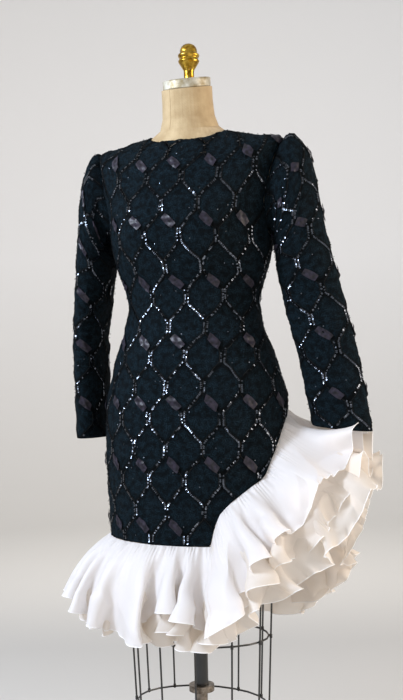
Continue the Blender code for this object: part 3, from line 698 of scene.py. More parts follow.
# Angle and height to a place on the flat cloth: how far round from the panel's own middle line, and how far
# up that line from the waist
MAP_REACH = 95               # degrees to each side of a panel's middle
MAP_UPS = np.linspace(0.56, NECKLINE, 260)
MAP_ANGLES = np.linspace(-MAP_REACH, MAP_REACH, 2 * MAP_REACH + 1)


def cloth_map(middle):
    """The distances round a panel from its middle line, and its heights up that line."""
    points = body_points(middle + MAP_ANGLES[None, :], MAP_UPS[:, None])
    rounds, climbs = grid_cloth(points, len(MAP_ANGLES) // 2)
    return rounds, climbs - np.interp(WAIST, MAP_UPS, climbs)


def to_cloth(rounds, climbs, from_middle, up):
    """Where points given by their angle from a panel's middle and their place up lie on its flat cloth."""
    row = np.interp(up, MAP_UPS, np.arange(len(MAP_UPS)))
    column = np.interp(from_middle, MAP_ANGLES, np.arange(len(MAP_ANGLES)))
    return read_grid(rounds, row, column), np.interp(up, MAP_UPS, climbs)


# Ribbon lace on a dull lining: the black ground drinks the light, with a cold green-blue cast where its fine
# upright ribs catch it, and blacker where the embroidery is thick. The green-blue is put into the base
# colour
# on the fuzz clumps that the bump raises: partly the lace's own dark teal, partly painted sheen.
RIB_SPACING = 0.0022         # the net's real ribs are about 1.5 mm apart
RIB_SCALE = 2 * math.pi / RIB_SPACING / WAVE_RATE
FUZZ_CLUMPS = 420.0          # to a metre, about 2.4 mm across
FUZZ_DEPTH = 1.6             # of a clump, as a share of a rib's
MOTIF_SIZE = 0.012           # of the darker clumps of embroidery
black_lace, lace_shader = add_finish(
    "ribbon_lace_on_lining", "#101A20", 0.85,
    Sheen_Weight=0.02, Sheen_Roughness=0.4, Specular_IOR_Level=0.06,
)
lace_shader.inputs["Sheen Tint"].default_value = srgb("#5C7C8C")
lace_place = add_node(black_lace, "TexCoord", {}, {})
ribs = add_node(
    black_lace, "TexWave",
    {"Scale": RIB_SCALE, "bands_direction": "X", "Distortion": 3.0, "Detail": 2.0},
    {"Vector": lace_place.outputs["UV"]},
)
thick = add_node(
    black_lace, "TexNoise", {"Scale": FUZZ_CLUMPS, "Detail": 3.0}, {"Vector": lace_place.outputs["UV"]}
)
relief = add_node(
    black_lace, "Math", {"operation": "MULTIPLY_ADD", 1: FUZZ_DEPTH},
    {0: thick.outputs["Fac"], 2: ribs.outputs["Fac"]},
)
add_bump(black_lace, lace_shader, relief.outputs["Value"], 0.0009, 0.8)
lattice_mask = add_node(black_lace, "Attribute", {"attribute_name": "lattice"}, {})
# Painted sheen: the ground turns from near black to green-blue where the fuzz clumps stand highest in the
# bump.
clump_sheen_share = add_node(
    black_lace, "MapRange", {"From Min": 0.36, "From Max": 0.62}, {"Value": thick.outputs["Fac"]}
)
ground_tone_and_sheen = add_node(
    black_lace, "MixRGB", {"Color1": srgb("#03070A"), "Color2": srgb("#17262F")},
    {"Fac": clump_sheen_share.outputs["Result"]},
)
motifs = add_node(
    black_lace, "TexNoise", {"Scale": 1 / MOTIF_SIZE, "Detail": 2.0}, {"Vector": lace_place.outputs["UV"]}
)
motif_share = add_node(
    black_lace, "MapRange", {"From Min": 0.40, "From Max": 0.62, "To Max": 0.75},
    {"Value": motifs.outputs["Fac"]},
)
dark_share = add_node(
    black_lace, "Math", {"operation": "MAXIMUM"},
    {0: lattice_mask.outputs["Fac"], 1: motif_share.outputs["Result"]},
)
lace_tone = add_node(
    black_lace, "MixRGB", {"Color2": srgb("#030506")},
    {"Fac": dark_share.outputs["Value"], "Color1": ground_tone_and_sheen.outputs["Color"]},
)
black_lace.node_tree.links.new(lace_tone.outputs["Color"], lace_shader.inputs["Base Color"])


def add_lace_shell(name, points, normals, across, high, faced_top):
    """A panel's lace from a grid of points, with its turned edges and its place on the flat cloth."""
    lattice = across - LATTICE_ACROSS, high - LATTICE_HIGH
    mask = np.exp(-(lattice_distance(*lattice) / BAND_WIDTH) ** 2)
    raised = points + normals * lace_height(points, *lattice)[..., None]
    places = np.stack([across, high], axis=-1)
    inner = points - normals * FACING_INSET
    low = slice(FACING_ROWS, 0, -1)
    top = slice(-2, -2 - FACING_ROWS, -1)

    def with_facings(outside, inside):
        return np.concatenate([inside[low], outside] + [inside[top]] * faced_top)

    grid = with_facings(raised, inner)
    made = add_mesh(name, grid, grid_faces(*grid.shape[:2]), black_lace, with_facings(places, places))
    attribute = made.data.attributes.new("lattice", "FLOAT", "POINT")
    attribute.data.foreach_set("value", with_facings(mask, mask).ravel().astype(np.float32))
    return made


# Each panel: its name, middle angle, the angles of its two edges from the middle where no armhole cuts in,
# and its width and length when cut. A side edge lies 90 degrees from the middle.
SIDE_EDGE = 90
PANEL_COLUMNS = ("name", "middle", "first", "last", "flat")
PANELS = [
    ("front", 0, -SIDE_EDGE, SIDE_EDGE, (0.58, 0.94)),
    ("back_left", 180, -SIDE_EDGE, 0, (0.31, 0.96)),
    ("back_right", 180, 0, SIDE_EDGE, (0.31, 0.96)),
]
METRES_A_DEGREE = 0.0030     # round the body, for the count of columns
ARM_ROWS = 54


def panel_ups():
    """Rows above the waist: evenly up to the underarm, round the armhole, and on to the neck."""
    low = np.arange(WAIST, UNDERARM, GRID)
    turns = np.linspace(math.pi, 0, ARM_ROWS)
    arm = ARMHOLE_MIDDLE + ARMHOLE_HALF * np.cos(turns)
    yoke = np.linspace(SHOULDER, NECKLINE, int((NECKLINE - SHOULDER) / GRID))[1:]
    return np.concatenate([low, arm, yoke])


EDGE_MARGIN = 0.0035         # kept clear of trimmings along each edge


def halved(low, top, across, read, times):
    """Where between two arrays of bounds a rising function reads the given distances, by halving."""
    for _ in range(times):
        middle = (low + top) / 2
        short = read(middle) < across
        low, top = np.where(short, middle, low), np.where(short, top, middle)
    return low


def panel_edges(panel, up):
    """The angles of a panel's edges from its middle. Only a side edge gives way to the armhole."""
    dips = dip_at(up)
    first = panel["first"] + dips * (panel["first"] == -SIDE_EDGE)
    return first, panel["last"] - dips * (panel["last"] == SIDE_EDGE)


def panel_places(panel, rounds, climbs):
    """A function that finds places on a panel by their distance round and up its flat cloth."""

    def places(across, high):
        up = np.interp(high, climbs, MAP_UPS)
        reach = np.full(across.shape, float(MAP_REACH))
        low = halved(-reach, reach, across, lambda middle: to_cloth(rounds, climbs, middle, up)[0], 22)
        angles = panel["middle"] + low
        margin = np.degrees(EDGE_MARGIN / body_at("half_width", up))
        first, last = panel_edges(panel, up)
        inside = (low > first + margin) & (low < last - margin)
        inside &= (up > hem_at("height", angles) + EDGE_MARGIN) & (up < NECKLINE - EDGE_MARGIN)
        normals = body_normals(angles, up)
        return worn_points(angles, up, normals), normals, inside

    return places


lace_places = {}
lace_spans = {}
for row in PANELS:
    panel = dict(zip(PANEL_COLUMNS, row))
    columns = int((panel["last"] - panel["first"]) * METRES_A_DEGREE / GRID) + 1
    shares = np.linspace(0, 1, columns)
    ups = panel_ups()
    firsts, lasts = panel_edges(panel, ups)
    firsts, lasts = firsts + SEAM_TRIM, lasts - SEAM_TRIM
    bodice_angles = panel["middle"] + firsts[:, None] + (lasts - firsts)[:, None] * shares
    skirt_angles = panel["middle"] + panel["first"] + SEAM_TRIM
    skirt_angles = skirt_angles + (panel["last"] - panel["first"] - 2 * SEAM_TRIM) * shares
    hems = hem_at("height", skirt_angles)
    skirt_rows = int((WAIST - hem_columns["height"].min()) / GRID)
    skirt_shares = np.linspace(0, 1, skirt_rows + 1)[:-1]
    skirt_ups = hems[None, :] + (WAIST - hems[None, :]) * skirt_shares[:, None]
    angles = np.concatenate([np.broadcast_to(skirt_angles, skirt_ups.shape), bodice_angles])
    all_ups = np.concatenate([skirt_ups, np.broadcast_to(ups[:, None], bodice_angles.shape)])
    normals = body_normals(angles, all_ups)
    points = worn_points(angles, all_ups, normals)
    rounds, climbs = cloth_map(panel["middle"])
    across, high = to_cloth(rounds, climbs, wrapped(angles - panel["middle"]), all_ups)
    shell = add_lace_shell("lace_" + panel["name"], points, normals, across, high, True)
    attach(shell, "form")
    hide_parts(panel["name"])
    lace_places[panel["name"]] = panel_places(panel, rounds, climbs)
    lace_spans[panel["name"]] = (across.min(), across.max(), high.min(), high.max())


# The sleeves
# Two long sleeves of the same lace, set in with a little gathering at the head, bent at the elbow as they
# hang and turned in at the cuff. Each is cut in one piece and seamed under the arm.

GATHER_HEIGHT = 0.00374
GATHER_REACH = 75            # degrees to each side of the shoulder point
GATHER_COUNT = 17            # folds round half a sleeve's head
GATHER_ROWS = 3.2            # of the table that they run down
SEAM_SINK = 0.0015           # that the seam allowance pulls the head's first rows down into the armhole
SEAM_SINK_ROWS = 0.12        # of the table
SLEEVE_SIDES = 96
FINE_ROWS = 600              # on which a sleeve is measured before it is divided evenly
SLEEVE_COLUMNS = ("outer_x", "outer_z", "inner_x", "inner_z", "half_depth", "centre_y")
LEFT_SLEEVE = [
    (0.2235, 1.4400, 0.1835, 1.2350, 0.0500, 0.000),
    (0.2420, 1.4290, 0.1865, 1.2290, 0.0550, 0.000),
    (0.2570, 1.4090, 0.1870, 1.2240, 0.0570, 0.000),
    (0.2690, 1.3730, 0.1872, 1.2180, 0.0570, 0.000),
    (0.2790, 1.3200, 0.1868, 1.2080, 0.0550, 0.001),
    (0.2916, 1.2485, 0.1872, 1.1880, 0.0500, 0.002),
    (0.3060, 1.1860, 0.1910, 1.1550, 0.0450, 0.004),
    (0.3210, 1.1260, 0.1985, 1.1060, 0.0400, 0.007),
    (0.3390, 1.0500, 0.2150, 1.0350, 0.0370, 0.011),
    (0.3550, 0.9750, 0.2310, 0.9640, 0.0355, 0.015),
    (0.3670, 0.9000, 0.2430, 0.8930, 0.0350, 0.019),
    (0.3770, 0.8280, 0.2530, 0.8400, 0.0350, 0.022),
]
RIGHT_SLEEVE = [
    (0.2200, 1.4380, 0.1835, 1.2350, 0.0500, 0.000),
    (0.2350, 1.4250, 0.1870, 1.2290, 0.0570, 0.000),
    (0.2450, 1.3990, 0.1885, 1.2230, 0.0620, 0.000),
    (0.2530, 1.3560, 0.1890, 1.2150, 0.0650, 0.000),
    (0.2600, 1.3000, 0.1910, 1.2000, 0.0660, 0.001),
    (0.2655, 1.2350, 0.1970, 1.1750, 0.0660, 0.002),
    (0.2720, 1.1550, 0.2060, 1.1250, 0.0660, 0.004),
    (0.2780, 1.1000, 0.2140, 1.0850, 0.0645, 0.007),
    (0.2835, 1.0500, 0.2215, 1.0430, 0.0635, 0.010),
    (0.2867, 0.9500, 0.2267, 0.9480, 0.0625, 0.017),
    (0.2867, 0.8800, 0.2267, 0.8790, 0.0625, 0.020),
    (0.2860, 0.8110, 0.2260, 0.8110, 0.0625, 0.023),
]
# Creases of the sleeves: side, place round from the outer line and up from the cuff in metres, reach along
# and across the crease, depth, and the slant in degrees
SLEEVE_CREASE_COLUMNS = ("side", "round", "up", "long", "wide", "depth", "slant")
SLEEVE_CREASES = [
    (1, 0.080, 0.300, 0.045, 0.0070, 0.0026, 20),
    (1, 0.095, 0.265, 0.050, 0.0070, 0.0030, 8),
    (1, 0.075, 0.225, 0.040, 0.0080, 0.0022, -10),
    (1, -0.085, 0.290, 0.045, 0.0080, 0.0026, -14),
    (1, -0.070, 0.250, 0.040, 0.0070, 0.0020, 4),
    (1, 0.060, 0.430, 0.060, 0.0090, 0.0028, 58),
    (1, -0.065, 0.440, 0.060, 0.0090, 0.0026, 122),
    (1, 0.020, 0.470, 0.050, 0.0060, 0.0016, 82),
    (1, 0.055, 0.110, 0.050, 0.0080, 0.0018, 70),
    (-1, 0.075, 0.270, 0.045, 0.0080, 0.0026, -12),
    (-1, 0.095, 0.240, 0.045, 0.0070, 0.0024, 6),
    (-1, -0.080, 0.280, 0.045, 0.0080, 0.0026, 16),
    (-1, -0.095, 0.225, 0.040, 0.0080, 0.0022, -6),
    (-1, 0.070, 0.430, 0.060, 0.0090, 0.0026, 118),
    (-1, -0.070, 0.425, 0.055, 0.0090, 0.0028, 60),
    (-1, 0.010, 0.120, 0.060, 0.0080, 0.0018, 96),
]


def lofted(rows, rings):
    """Rings of points read at any rows between them, on smooth curves from ring to ring."""
    flat = rings.reshape(len(rings), -1)
    between = [curve(rows, np.arange(len(rings), dtype=float), column) for column in flat.T]
    return np.stack(between, axis=-1).reshape(len(rows), *rings.shape[1:])


def armhole_loop(side, turns):
    """The armhole on the dress's outer face, by the turn from the shoulder point."""
    angles = side * (SIDE_EDGE - ARMHOLE_DIP * np.sin(turns))
    return body_points(angles, ARMHOLE_MIDDLE + ARMHOLE_HALF * np.cos(turns))


def sleeve_loops(side, table, turns):
    """A sleeve's rings from its cuff up to its armhole."""
    rows = columns_of(table, SLEEVE_COLUMNS)
    outer_end = np.stack([side * rows["outer_x"], rows["centre_y"], rows["outer_z"]], axis=-1)
    inner_end = np.stack([side * rows["inner_x"], rows["centre_y"], rows["inner_z"]], axis=-1)
    centre = (outer_end + inner_end) / 2
    across = outer_end - centre
    deep = rows["half_depth"][:, None] * np.array([0.0, 1.0, 0.0])
    out, back = np.cos(turns)[:, None], np.sin(turns)[:, None]
    rings = centre[:, None] + across[:, None] * out - deep[:, None] * back
    return np.concatenate([armhole_loop(side, turns)[None], rings])[::-1]


def grid_normals(points):
    """The directions in which a grid faces, from its rows going up and its columns going round."""
    return unit(np.cross(np.gradient(points, axis=1), np.gradient(points, axis=0)))


def sleeve_places(points, normals, across_grid, high_grid):
    """A function that finds places on a sleeve by their distance round and up its flat cloth."""
    highs = high_grid[:, 0]

    def places(across, high):
        row = np.interp(high, highs, np.arange(len(highs)))
        first, last = np.zeros(across.shape), np.full(across.shape, across_grid.shape[1] - 1.0)
        low = halved(first, last, across, lambda middle: read_grid(across_grid, row, middle), 18)
        ends = [read_grid(across_grid, row, end) for end in (first, last)]
        inside = (across > ends[0] + EDGE_MARGIN) & (across < ends[1] - EDGE_MARGIN)
        inside &= (high > highs[0] + EDGE_MARGIN) & (high < highs[-1] - EDGE_MARGIN)
        return read_grid(points, row, low), unit(read_grid(normals, row, low)), inside

    return places


sleeve_crease_rows = [dict(zip(SLEEVE_CREASE_COLUMNS, row)) for row in SLEEVE_CREASES]
for side, name, table in ((1, "sleeve_left", LEFT_SLEEVE), (-1, "sleeve_right", RIGHT_SLEEVE)):
    turns = np.linspace(-math.pi, math.pi, SLEEVE_SIDES + 1) * -side
    loops = sleeve_loops(side, table, turns)
    last = len(loops) - 1
    fine_rows = np.linspace(0, last, FINE_ROWS)
    fine_climbs = grid_cloth(lofted(fine_rows, loops), SLEEVE_SIDES // 2)[1]
    count = int(fine_climbs[-1] / GRID)
    rows = np.interp(np.linspace(0, fine_climbs[-1], count), fine_climbs, fine_rows)
    points = lofted(rows, loops)
    normals = grid_normals(points)
    rounds, climbs = grid_cloth(points, SLEEVE_SIDES // 2)
    across, high = rounds, np.broadcast_to(climbs[:, None], rounds.shape)
    from_head = last - rows
    fade = np.clip(from_head, 0, 1) * np.clip(1 - from_head / GATHER_ROWS, 0, 1)
    from_top = np.abs(np.degrees(turns))
    near_top = np.clip(1 - from_top / GATHER_REACH, 0, 1)
    uneven = 1 + 0.4 * np.sin(turns * 5.3 + side)
    waves = np.cos(GATHER_COUNT * np.abs(turns) + 0.7 * np.sin(3 * turns))
    folds = GATHER_HEIGHT * waves * uneven * near_top
    push = fade[:, None] * folds - SEAM_SINK * np.exp(-(from_head[:, None] / SEAM_SINK_ROWS) ** 2)
    for row in sleeve_crease_rows:
        if row["side"] == side:
            push = push - crease(across - row["round"], high - row["up"], row)
    points = points + normals * push[..., None]
    high = high - climbs[-1]
    normals = grid_normals(points)
    shell = add_lace_shell("lace_" + name, points, normals, across, high, False)
    lace_places[name] = sleeve_places(points, normals, across, high)
    lace_spans[name] = (across.min(), across.max(), high.min(), high.max())
    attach(shell, "form")
    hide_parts(name)


# The lace's trimmings
# Each zigzag line of the lace carries a row of black cupped sequins, sewn on overlapping, with a dull corded
# edge beside them. On every second line a short satin ribbon is threaded in place of a falling run, and
# small sequins are scattered over the ground, with loose picot loops of the lace's own thread.

SEQUIN_RADIUS = 0.0023
SEQUIN_SPACING = 0.0036
SEQUIN_SIDES = 6
SEQUIN_CUP = 0.00022
SEQUIN_TILT = 17             # degrees that each one lies back on the next
SEQUIN_JITTER = 7
SEQUIN_LIFT = 0.0019
CORD_RADIUS = 0.0005
CORD_SIDES = 4
CORD_STEP = 0.0030
CORD_OFFSET = 0.0031
CORD_LIFT = 0.0013
LINK_OFFSET = 0.0032         # of the two strands of a link, from its line
STRAND_STEP = 0.0012
CORNER_SMOOTHING = 5         # steps
WANDER = 0.0026              # how far a strand strays from its line
WANDER_LENGTH = 0.028
SHORTEST_RUN = 6             # steps of a strand that still carry sequins
# The share of the sequins that has come off or lies under the thread, by the part of a strand
MISSING_SEQUINS = {"falling": 0.08, "link": 0.30, "rising": 0.50}
RIBBON_LENGTH = 0.033
RIBBON_WIDTH = 0.0165
RIBBON_LIFT = 0.0036
RIBBON_COLUMNS = 9
RIBBON_ROWS = 6
STRAY_SEQUINS = 420          # a square metre
STRAY_RADIUS = 0.0013
STRAY_LIFT = 0.001
PICOTS = 2600                # loops of loose thread to a square metre
PICOT_HEIGHT = 0.0030
PICOT_RADIUS = 0.0005
PICOT_POINTS = 5
PICOT_SIDES = 3
random = np.random.default_rng(5)


def strand_path(k, low, high):
    """One strand's path down the flat cloth, and each point's part of it: link, falling or rising."""
    left, right = k * CELL_HALF + LINK_OFFSET, (k + 1) * CELL_HALF - LINK_OFFSET
    height = (math.ceil(high / PERIOD) + 1) * PERIOD + (0.0 if k % 2 == 0 else PERIOD / 2)
    corners, parts = [(left, height + LINK)], []
    while height > low - PERIOD:
        corners += [(left, height), (right, height - RISE)]
        corners += [(right, height - RISE - LINK), (left, height - PERIOD + LINK)]
        parts += ["link", "falling", "link", "rising"]
        height -= PERIOD
    corners = np.array(corners)
    lengths = running_lengths(corners)
    steps = np.arange(0, lengths[-1], STRAND_STEP)
    path = np.stack([np.interp(steps, lengths, axis) for axis in corners.T], axis=-1)
    kernel = np.ones(CORNER_SMOOTHING) / CORNER_SMOOTHING
    for axis in (0, 1):
        padded = np.pad(path[:, axis], CORNER_SMOOTHING // 2, mode="edge")
        path[:, axis] = np.convolve(padded, kernel, "valid")
    strays = [[noise.noise(Vector((x, y, k + i)) / WANDER_LENGTH) for i in (0, 5)] for x, y in path]
    path += WANDER * np.array(strays)
    part = np.clip(np.searchsorted(lengths, steps, side="right") - 1, 0, len(parts) - 1)
    return path, np.array(parts)[part]


def offset_path(path, distance):
    """The path moved to its left by a distance on the flat cloth."""
    ways = unit(np.gradient(path, axis=0))
    return path + np.stack([-ways[:, 1], ways[:, 0]], axis=-1) * distance


def runs_of(inside, shortest):
    """The stretches of a path that are inside, as slices."""
    edges = np.flatnonzero(np.diff(np.concatenate([[0], inside.astype(int), [0]])))
    return [slice(a, b) for a, b in zip(edges[::2], edges[1::2]) if b - a >= shortest]


def sequin(place, normal, way, radius):
    """A cupped disc of flat facets, lying back along its thread."""
    tilt = math.radians(SEQUIN_TILT + random.normal() * SEQUIN_JITTER)
    roll = math.radians(random.normal() * SEQUIN_JITTER)
    beside = np.cross(way, normal)
    facing = unit(normal * math.cos(tilt) - way * math.sin(tilt) + beside * math.sin(roll))
    first = unit(np.cross(facing, beside))
    second = np.cross(facing, first)
    turns = np.arange(SEQUIN_SIDES) * 2 * math.pi / SEQUIN_SIDES + random.uniform(0, 1)
    rim = place + radius * (np.cos(turns)[:, None] * first + np.sin(turns)[:, None] * second)
    middle = place - facing * SEQUIN_CUP
    faces = [(i, (i + 1) % SEQUIN_SIDES, SEQUIN_SIDES) for i in range(SEQUIN_SIDES)]
    return np.concatenate([rim, middle[None]]), faces


# Black sequins of coated film are mirror-smooth, so they go from jet black to a hard white glint. The coat
# reflects more than bare plastic, and is faintly blue.
sequin_film, sequin_shader = add_finish("black_sequin_film", "#040507", 0.22, IOR=2.2)
sequin_shader.inputs["Specular Tint"].default_value = srgb("#DDEBFF")

# The couched cord is mercerised cotton gone brown, with only a dull shine.
cotton_cord, cord_shader = add_finish("dull_cotton_cord", "#2B2722", 0.75, Specular_IOR_Level=0.2)
add_mottle(cotton_cord, cord_shader, ("#050505", "#1D1915"), 0.012)

# Satin ribbon, aubergine over black: its floats give one broad soft highlight across the weave.
satin, satin_shader = add_finish(
    "aubergine_satin_ribbon", "#251F2B", 0.42, Specular_IOR_Level=0.28, Anisotropic=0.4
)
add_mottle(satin, satin_shader, ("#100F16", "#2C2836"), 0.007)


def strand_trims(places, flat_path, part, bare_fall, cord_side):
    """The sequins and cords of one strand. With bare_fall its falling runs have no sequins."""
    sequins = []
    points, normals, inside = places(*flat_path.T)
    for run in runs_of(inside & ~((part == "falling") & bare_fall), SHORTEST_RUN):
        ways = unit(np.gradient(points[run], axis=0))
        for i in np.arange(0, len(ways), SEQUIN_SPACING / STRAND_STEP).astype(int):
            if random.uniform() > MISSING_SEQUINS[part[run][i]]:
                place = points[run][i] + normals[run][i] * SEQUIN_LIFT
                radius = SEQUIN_RADIUS * random.uniform(0.85, 1.1)
                sequins.append(sequin(place, normals[run][i], ways[i], radius))
    points, normals, inside = places(*offset_path(flat_path, CORD_OFFSET * cord_side).T)
    raised = points + normals * CORD_LIFT
    stride = int(round(CORD_STEP / STRAND_STEP))
    cords = [tube(raised[run][::stride], CORD_RADIUS, CORD_SIDES) for run in runs_of(inside, 4 * stride)]
    return sequins, cords


def ribbon(places, top):
    """One short ribbon on the falling line that starts at top, as a list that is empty off the cloth."""
    slope = unit(np.array([CELL_HALF, -RISE]))
    beside = np.array([slope[1], -slope[0]])
    middle = top + slope * 0.5 * math.hypot(CELL_HALF, RISE) + random.normal(size=2) * 0.001
    u, v = np.meshgrid(np.linspace(-0.5, 0.5, RIBBON_COLUMNS), np.linspace(-0.5, 0.5, RIBBON_ROWS))
    skewed = u * RIBBON_LENGTH * random.uniform(0.85, 1.08) + v * random.uniform(-0.002, 0.007)
    pinched = v * RIBBON_WIDTH * (1 - 0.8 * u * u)
    spots = middle + skewed[..., None] * slope + pinched[..., None] * beside
    points, normals, inside = places(spots[..., 0].ravel(), spots[..., 1].ravel())
    if not inside.all():
        return []
    pull = random.uniform(0, 6, 2)
    wrinkle = 0.0011 * np.sin(9 * u + 5 * v + pull[0]) + 0.0009 * np.sin(7 * v - 6 * u + pull[1])
    lift = RIBBON_LIFT + wrinkle * (1 - 3 * u * u)
    return [(points + normals * lift.ravel()[:, None], grid_faces(RIBBON_ROWS, RIBBON_COLUMNS))]


def scattered(places, span, density):
    """The points and normals of places strewn at random over a piece's cloth."""
    least_across, most_across, least_high, most_high = span
    count = int(density * ((most_across - least_across) * (most_high - least_high)))
    across = random.uniform(least_across, most_across, count)
    points, normals, inside = places(across, random.uniform(least_high, most_high, count))
    return zip(points[inside], normals[inside])


for name, places in lace_places.items():
    least_across, most_across, least_high, most_high = span = lace_spans[name]
    sequins, cords, ribbons, picots = [], [], [], []
    low, high = least_high - LATTICE_HIGH, most_high - LATTICE_HIGH
    first = math.floor((least_across - LATTICE_ACROSS) / CELL_HALF) - 1
    last = math.ceil((most_across - LATTICE_ACROSS) / CELL_HALF) + 1
    for k in range(first, last):
        ribboned = k % 2 == 0
        path, part = strand_path(k, low, high)
        flat_path = path + np.array([LATTICE_ACROSS, LATTICE_HIGH])
        strand_sequins, strand_cords = strand_trims(places, flat_path, part, ribboned, -1 if ribboned else 1)
        sequins += strand_sequins
        cords += strand_cords
        if ribboned:
            for n in range(math.floor(low / PERIOD), math.ceil(high / PERIOD) + 1):
                top = np.array([k * CELL_HALF + LATTICE_ACROSS, n * PERIOD + LATTICE_HIGH])
                ribbons += ribbon(places, top)
    for point, normal in scattered(places, span, STRAY_SEQUINS):
        way = unit(np.cross(normal, random.normal(size=3)))
        sequins.append(sequin(point + normal * STRAY_LIFT, normal, way, STRAY_RADIUS))
    for point, normal in scattered(places, span, PICOTS):
        way = unit(np.cross(normal, random.normal(size=3)))
        steps = np.linspace(-1, 1, PICOT_POINTS)[:, None]
        tall = PICOT_HEIGHT * random.uniform(0.5, 1.1)
        loop = point + normal * tall * (1 - steps ** 2) + way * PICOT_HEIGHT * 0.6 * steps
        picots.append(tube(loop, PICOT_RADIUS, PICOT_SIDES))
    for kind, parts, finish in (
        ("sequins", sequins, sequin_film), ("cord", cords, cotton_cord), ("ribbons", ribbons, satin),
        ("picots", picots, black_lace),
    ):
        trim = add_joined(f"{name}_{kind}", parts, finish)
        if kind == "sequins":
            trim.data.shade_flat()
        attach(trim, "form")


# The ruffle
# Crisp white silk organza with rolled edges, gathered into the hem in two layers, each joined from four
# strips. The under layer is folded along its gathering thread, so it hangs in two tiers. The ruffle stands
# out in flutes, curls where it turns the hem's corner, and cascades from the left hip.

RUFFLE_GAP = 0.0006          # below the hem
STRIP_TRIM = 0.0002          # from each end of a strip
SEAM_REACH = 0.004           # how far to each side the seam's own direction is taken
SMALLEST_BEND = 0.01         # radians that a ruffle's section turns at the least
RUFFLE_ROWS = 46
RUFFLE_STEP = 0.0012         # between columns along the seam
STRIP_COLUMNS = ("name", "first_angle", "last_angle")
STRIPS = [
    ("ruffle_front", -68, 24),
    ("ruffle_cascade", 24, 105),
    ("ruffle_back_left", 105, 190),
    ("ruffle_back_right", 190, 292),
]
# The outer ply and the under layer's two tiers: the share of the flutes' height, how far each lies inside
# the outer face at its seam and at its edge, how much deeper it hangs, how far its flutes lag, how even its
# depth is, the share of the flutes' lift, and how far it is crumpled
PLY_COLUMNS = ("share", "seam_inset", "edge_inset", "extra_depth", "shift", "evened", "lift", "crumple")
PLIES = [
    (1.0, 0.0002, 0.0, 0.0, 0.0, 0.0, 1.0, 0.009),
    (0.90, 0.0012, 0.023, 0.0, 1.1, 0.55, 0.5, 0.024),
    (0.55, 0.0022, 0.038, 0.010, 2.6, 1.0, 0.0, 0.026),
]
# The flutes, by the angle round the hem at which each one stands out most: the height of its swing, how far
# it curls into a loop, how far its edge kicks outward, how far it leans over to one side, the share of the
# hem's depth that it hangs, and the degrees that it lifts the edge
FLUTE_COLUMNS = ("angle", "height", "curl", "kick", "skew", "reach", "lift")
FLUTES = [
    (-92, 0.024, 0.25, 0.3, 0.2, 0.78, 24),
    (-80, 0.022, 0.20, 0.2, 0.1, 0.78, 26),
    (-62, 0.024, 0.20, 0.3, 0.4, 0.72, 22),
    (-49, 0.022, 0.25, 0.2, 0.7, 0.82, 22),
    (-35, 0.021, 0.25, 0.2, 0.6, 0.90, 14),
    (-13, 0.029, 0.30, 0.2, 1.1, 0.98, 6),
    (3, 0.024, 0.70, 0.9, 0.3, 0.66, 12),
    (13, 0.027, 0.60, 0.8, -0.4, 0.74, 10),
    (25, 0.030, 0.70, 0.6, 0.2, 0.90, 4),
    (35, 0.026, 0.70, 0.7, 0.5, 0.70, 10),
    (46, 0.024, 0.40, 0.6, 0.5, 0.62, 16),
    (66, 0.017, 0.00, 0.1, 0.0, 0.60, 18),
    (89, 0.028, 0.50, 0.4, -0.3, 0.80, 6),
    (101, 0.030, 0.60, 0.6, 0.2, 0.90, 0),
    (113, 0.026, 0.40, 0.3, 0.3, 0.86, 8),
    (124, 0.022, 0.50, 0.5, -0.2, 0.82, 14),
    (133, 0.027, 0.35, 0.3, 0.4, 0.86, 16),
    (144, 0.022, 0.55, 0.3, 0.1, 0.80, 18),
    (156, 0.021, 0.30, 0.1, -0.4, 0.88, 14),
    (167, 0.020, 0.35, 0.2, 0.2, 0.82, 18),
    (180, 0.022, 0.30, 0.2, 0.5, 0.86, 16),
    (191, 0.023, 0.40, 0.5, -0.2, 0.80, 24),
    (204, 0.028, 0.25, 0.2, 0.4, 0.85, 20),
    (216, 0.023, 0.40, 0.5, 0.0, 0.80, 24),
    (229, 0.029, 0.30, 0.3, -0.5, 0.86, 22),
    (241, 0.022, 0.45, 0.6, 0.3, 0.80, 24),
    (254, 0.027, 0.25, 0.2, 0.5, 0.84, 22),
    (268, 0.024, 0.25, 0.3, 0.2, 0.78, 24),
    (280, 0.022, 0.20, 0.2, 0.1, 0.78, 26),
    (298, 0.024, 0.20, 0.3, 0.4, 0.74, 28),
    (315, 0.022, 0.25, 0.2, 0.7, 0.82, 22),
]
LETTUCE_HEIGHT = 0.0034      # of the small waves that the rolled edge makes
LETTUCE_LENGTH = 0.021
LETTUCE_REACH = 0.05         # share of the depth that they fade over
RUFFLE_GATHER = 0.0017
GATHER_LENGTH = 0.0085
GATHER_FADE = 0.16           # share of the depth that they fade over
CRUMPLE_LENGTH = 0.055       # along the hem
CRUMPLES_DOWN = 2.2          # from the hem to the ruffle's edge
CRUMPLE_SEED_STEP = 11.3     # between the crumples that push out and those that push aside
# How fast each effect grows from the seam to the edge, as the power of the share of the way down
SWING_POWER = 1.15
KICK_POWER = 3
LAG_POWER = 1.6
CURL_POWER = 2.2
SKEW_POWER = 1.5
CRUMPLE_POWER = 1.3

flute_columns = columns_of(FLUTES, FLUTE_COLUMNS)
# The seam is read a little past the strips' ends, so that it has a direction there too.
seam_angles = np.linspace(-80, 304, 1600)
seam_line = body_points(seam_angles, hem_at("height", seam_angles))
seam_lengths = running_lengths(seam_line)
strips = [dict(zip(STRIP_COLUMNS, row)) for row in STRIPS]
end_angles = [strip["first_angle"] for strip in strips] + [strips[-1]["last_angle"]]
strip_ends = np.interp(end_angles, seam_angles, seam_lengths)


def seam_at(lengths):
    return np.stack([np.interp(lengths, seam_lengths, axis) for axis in seam_line.T], axis=-1)


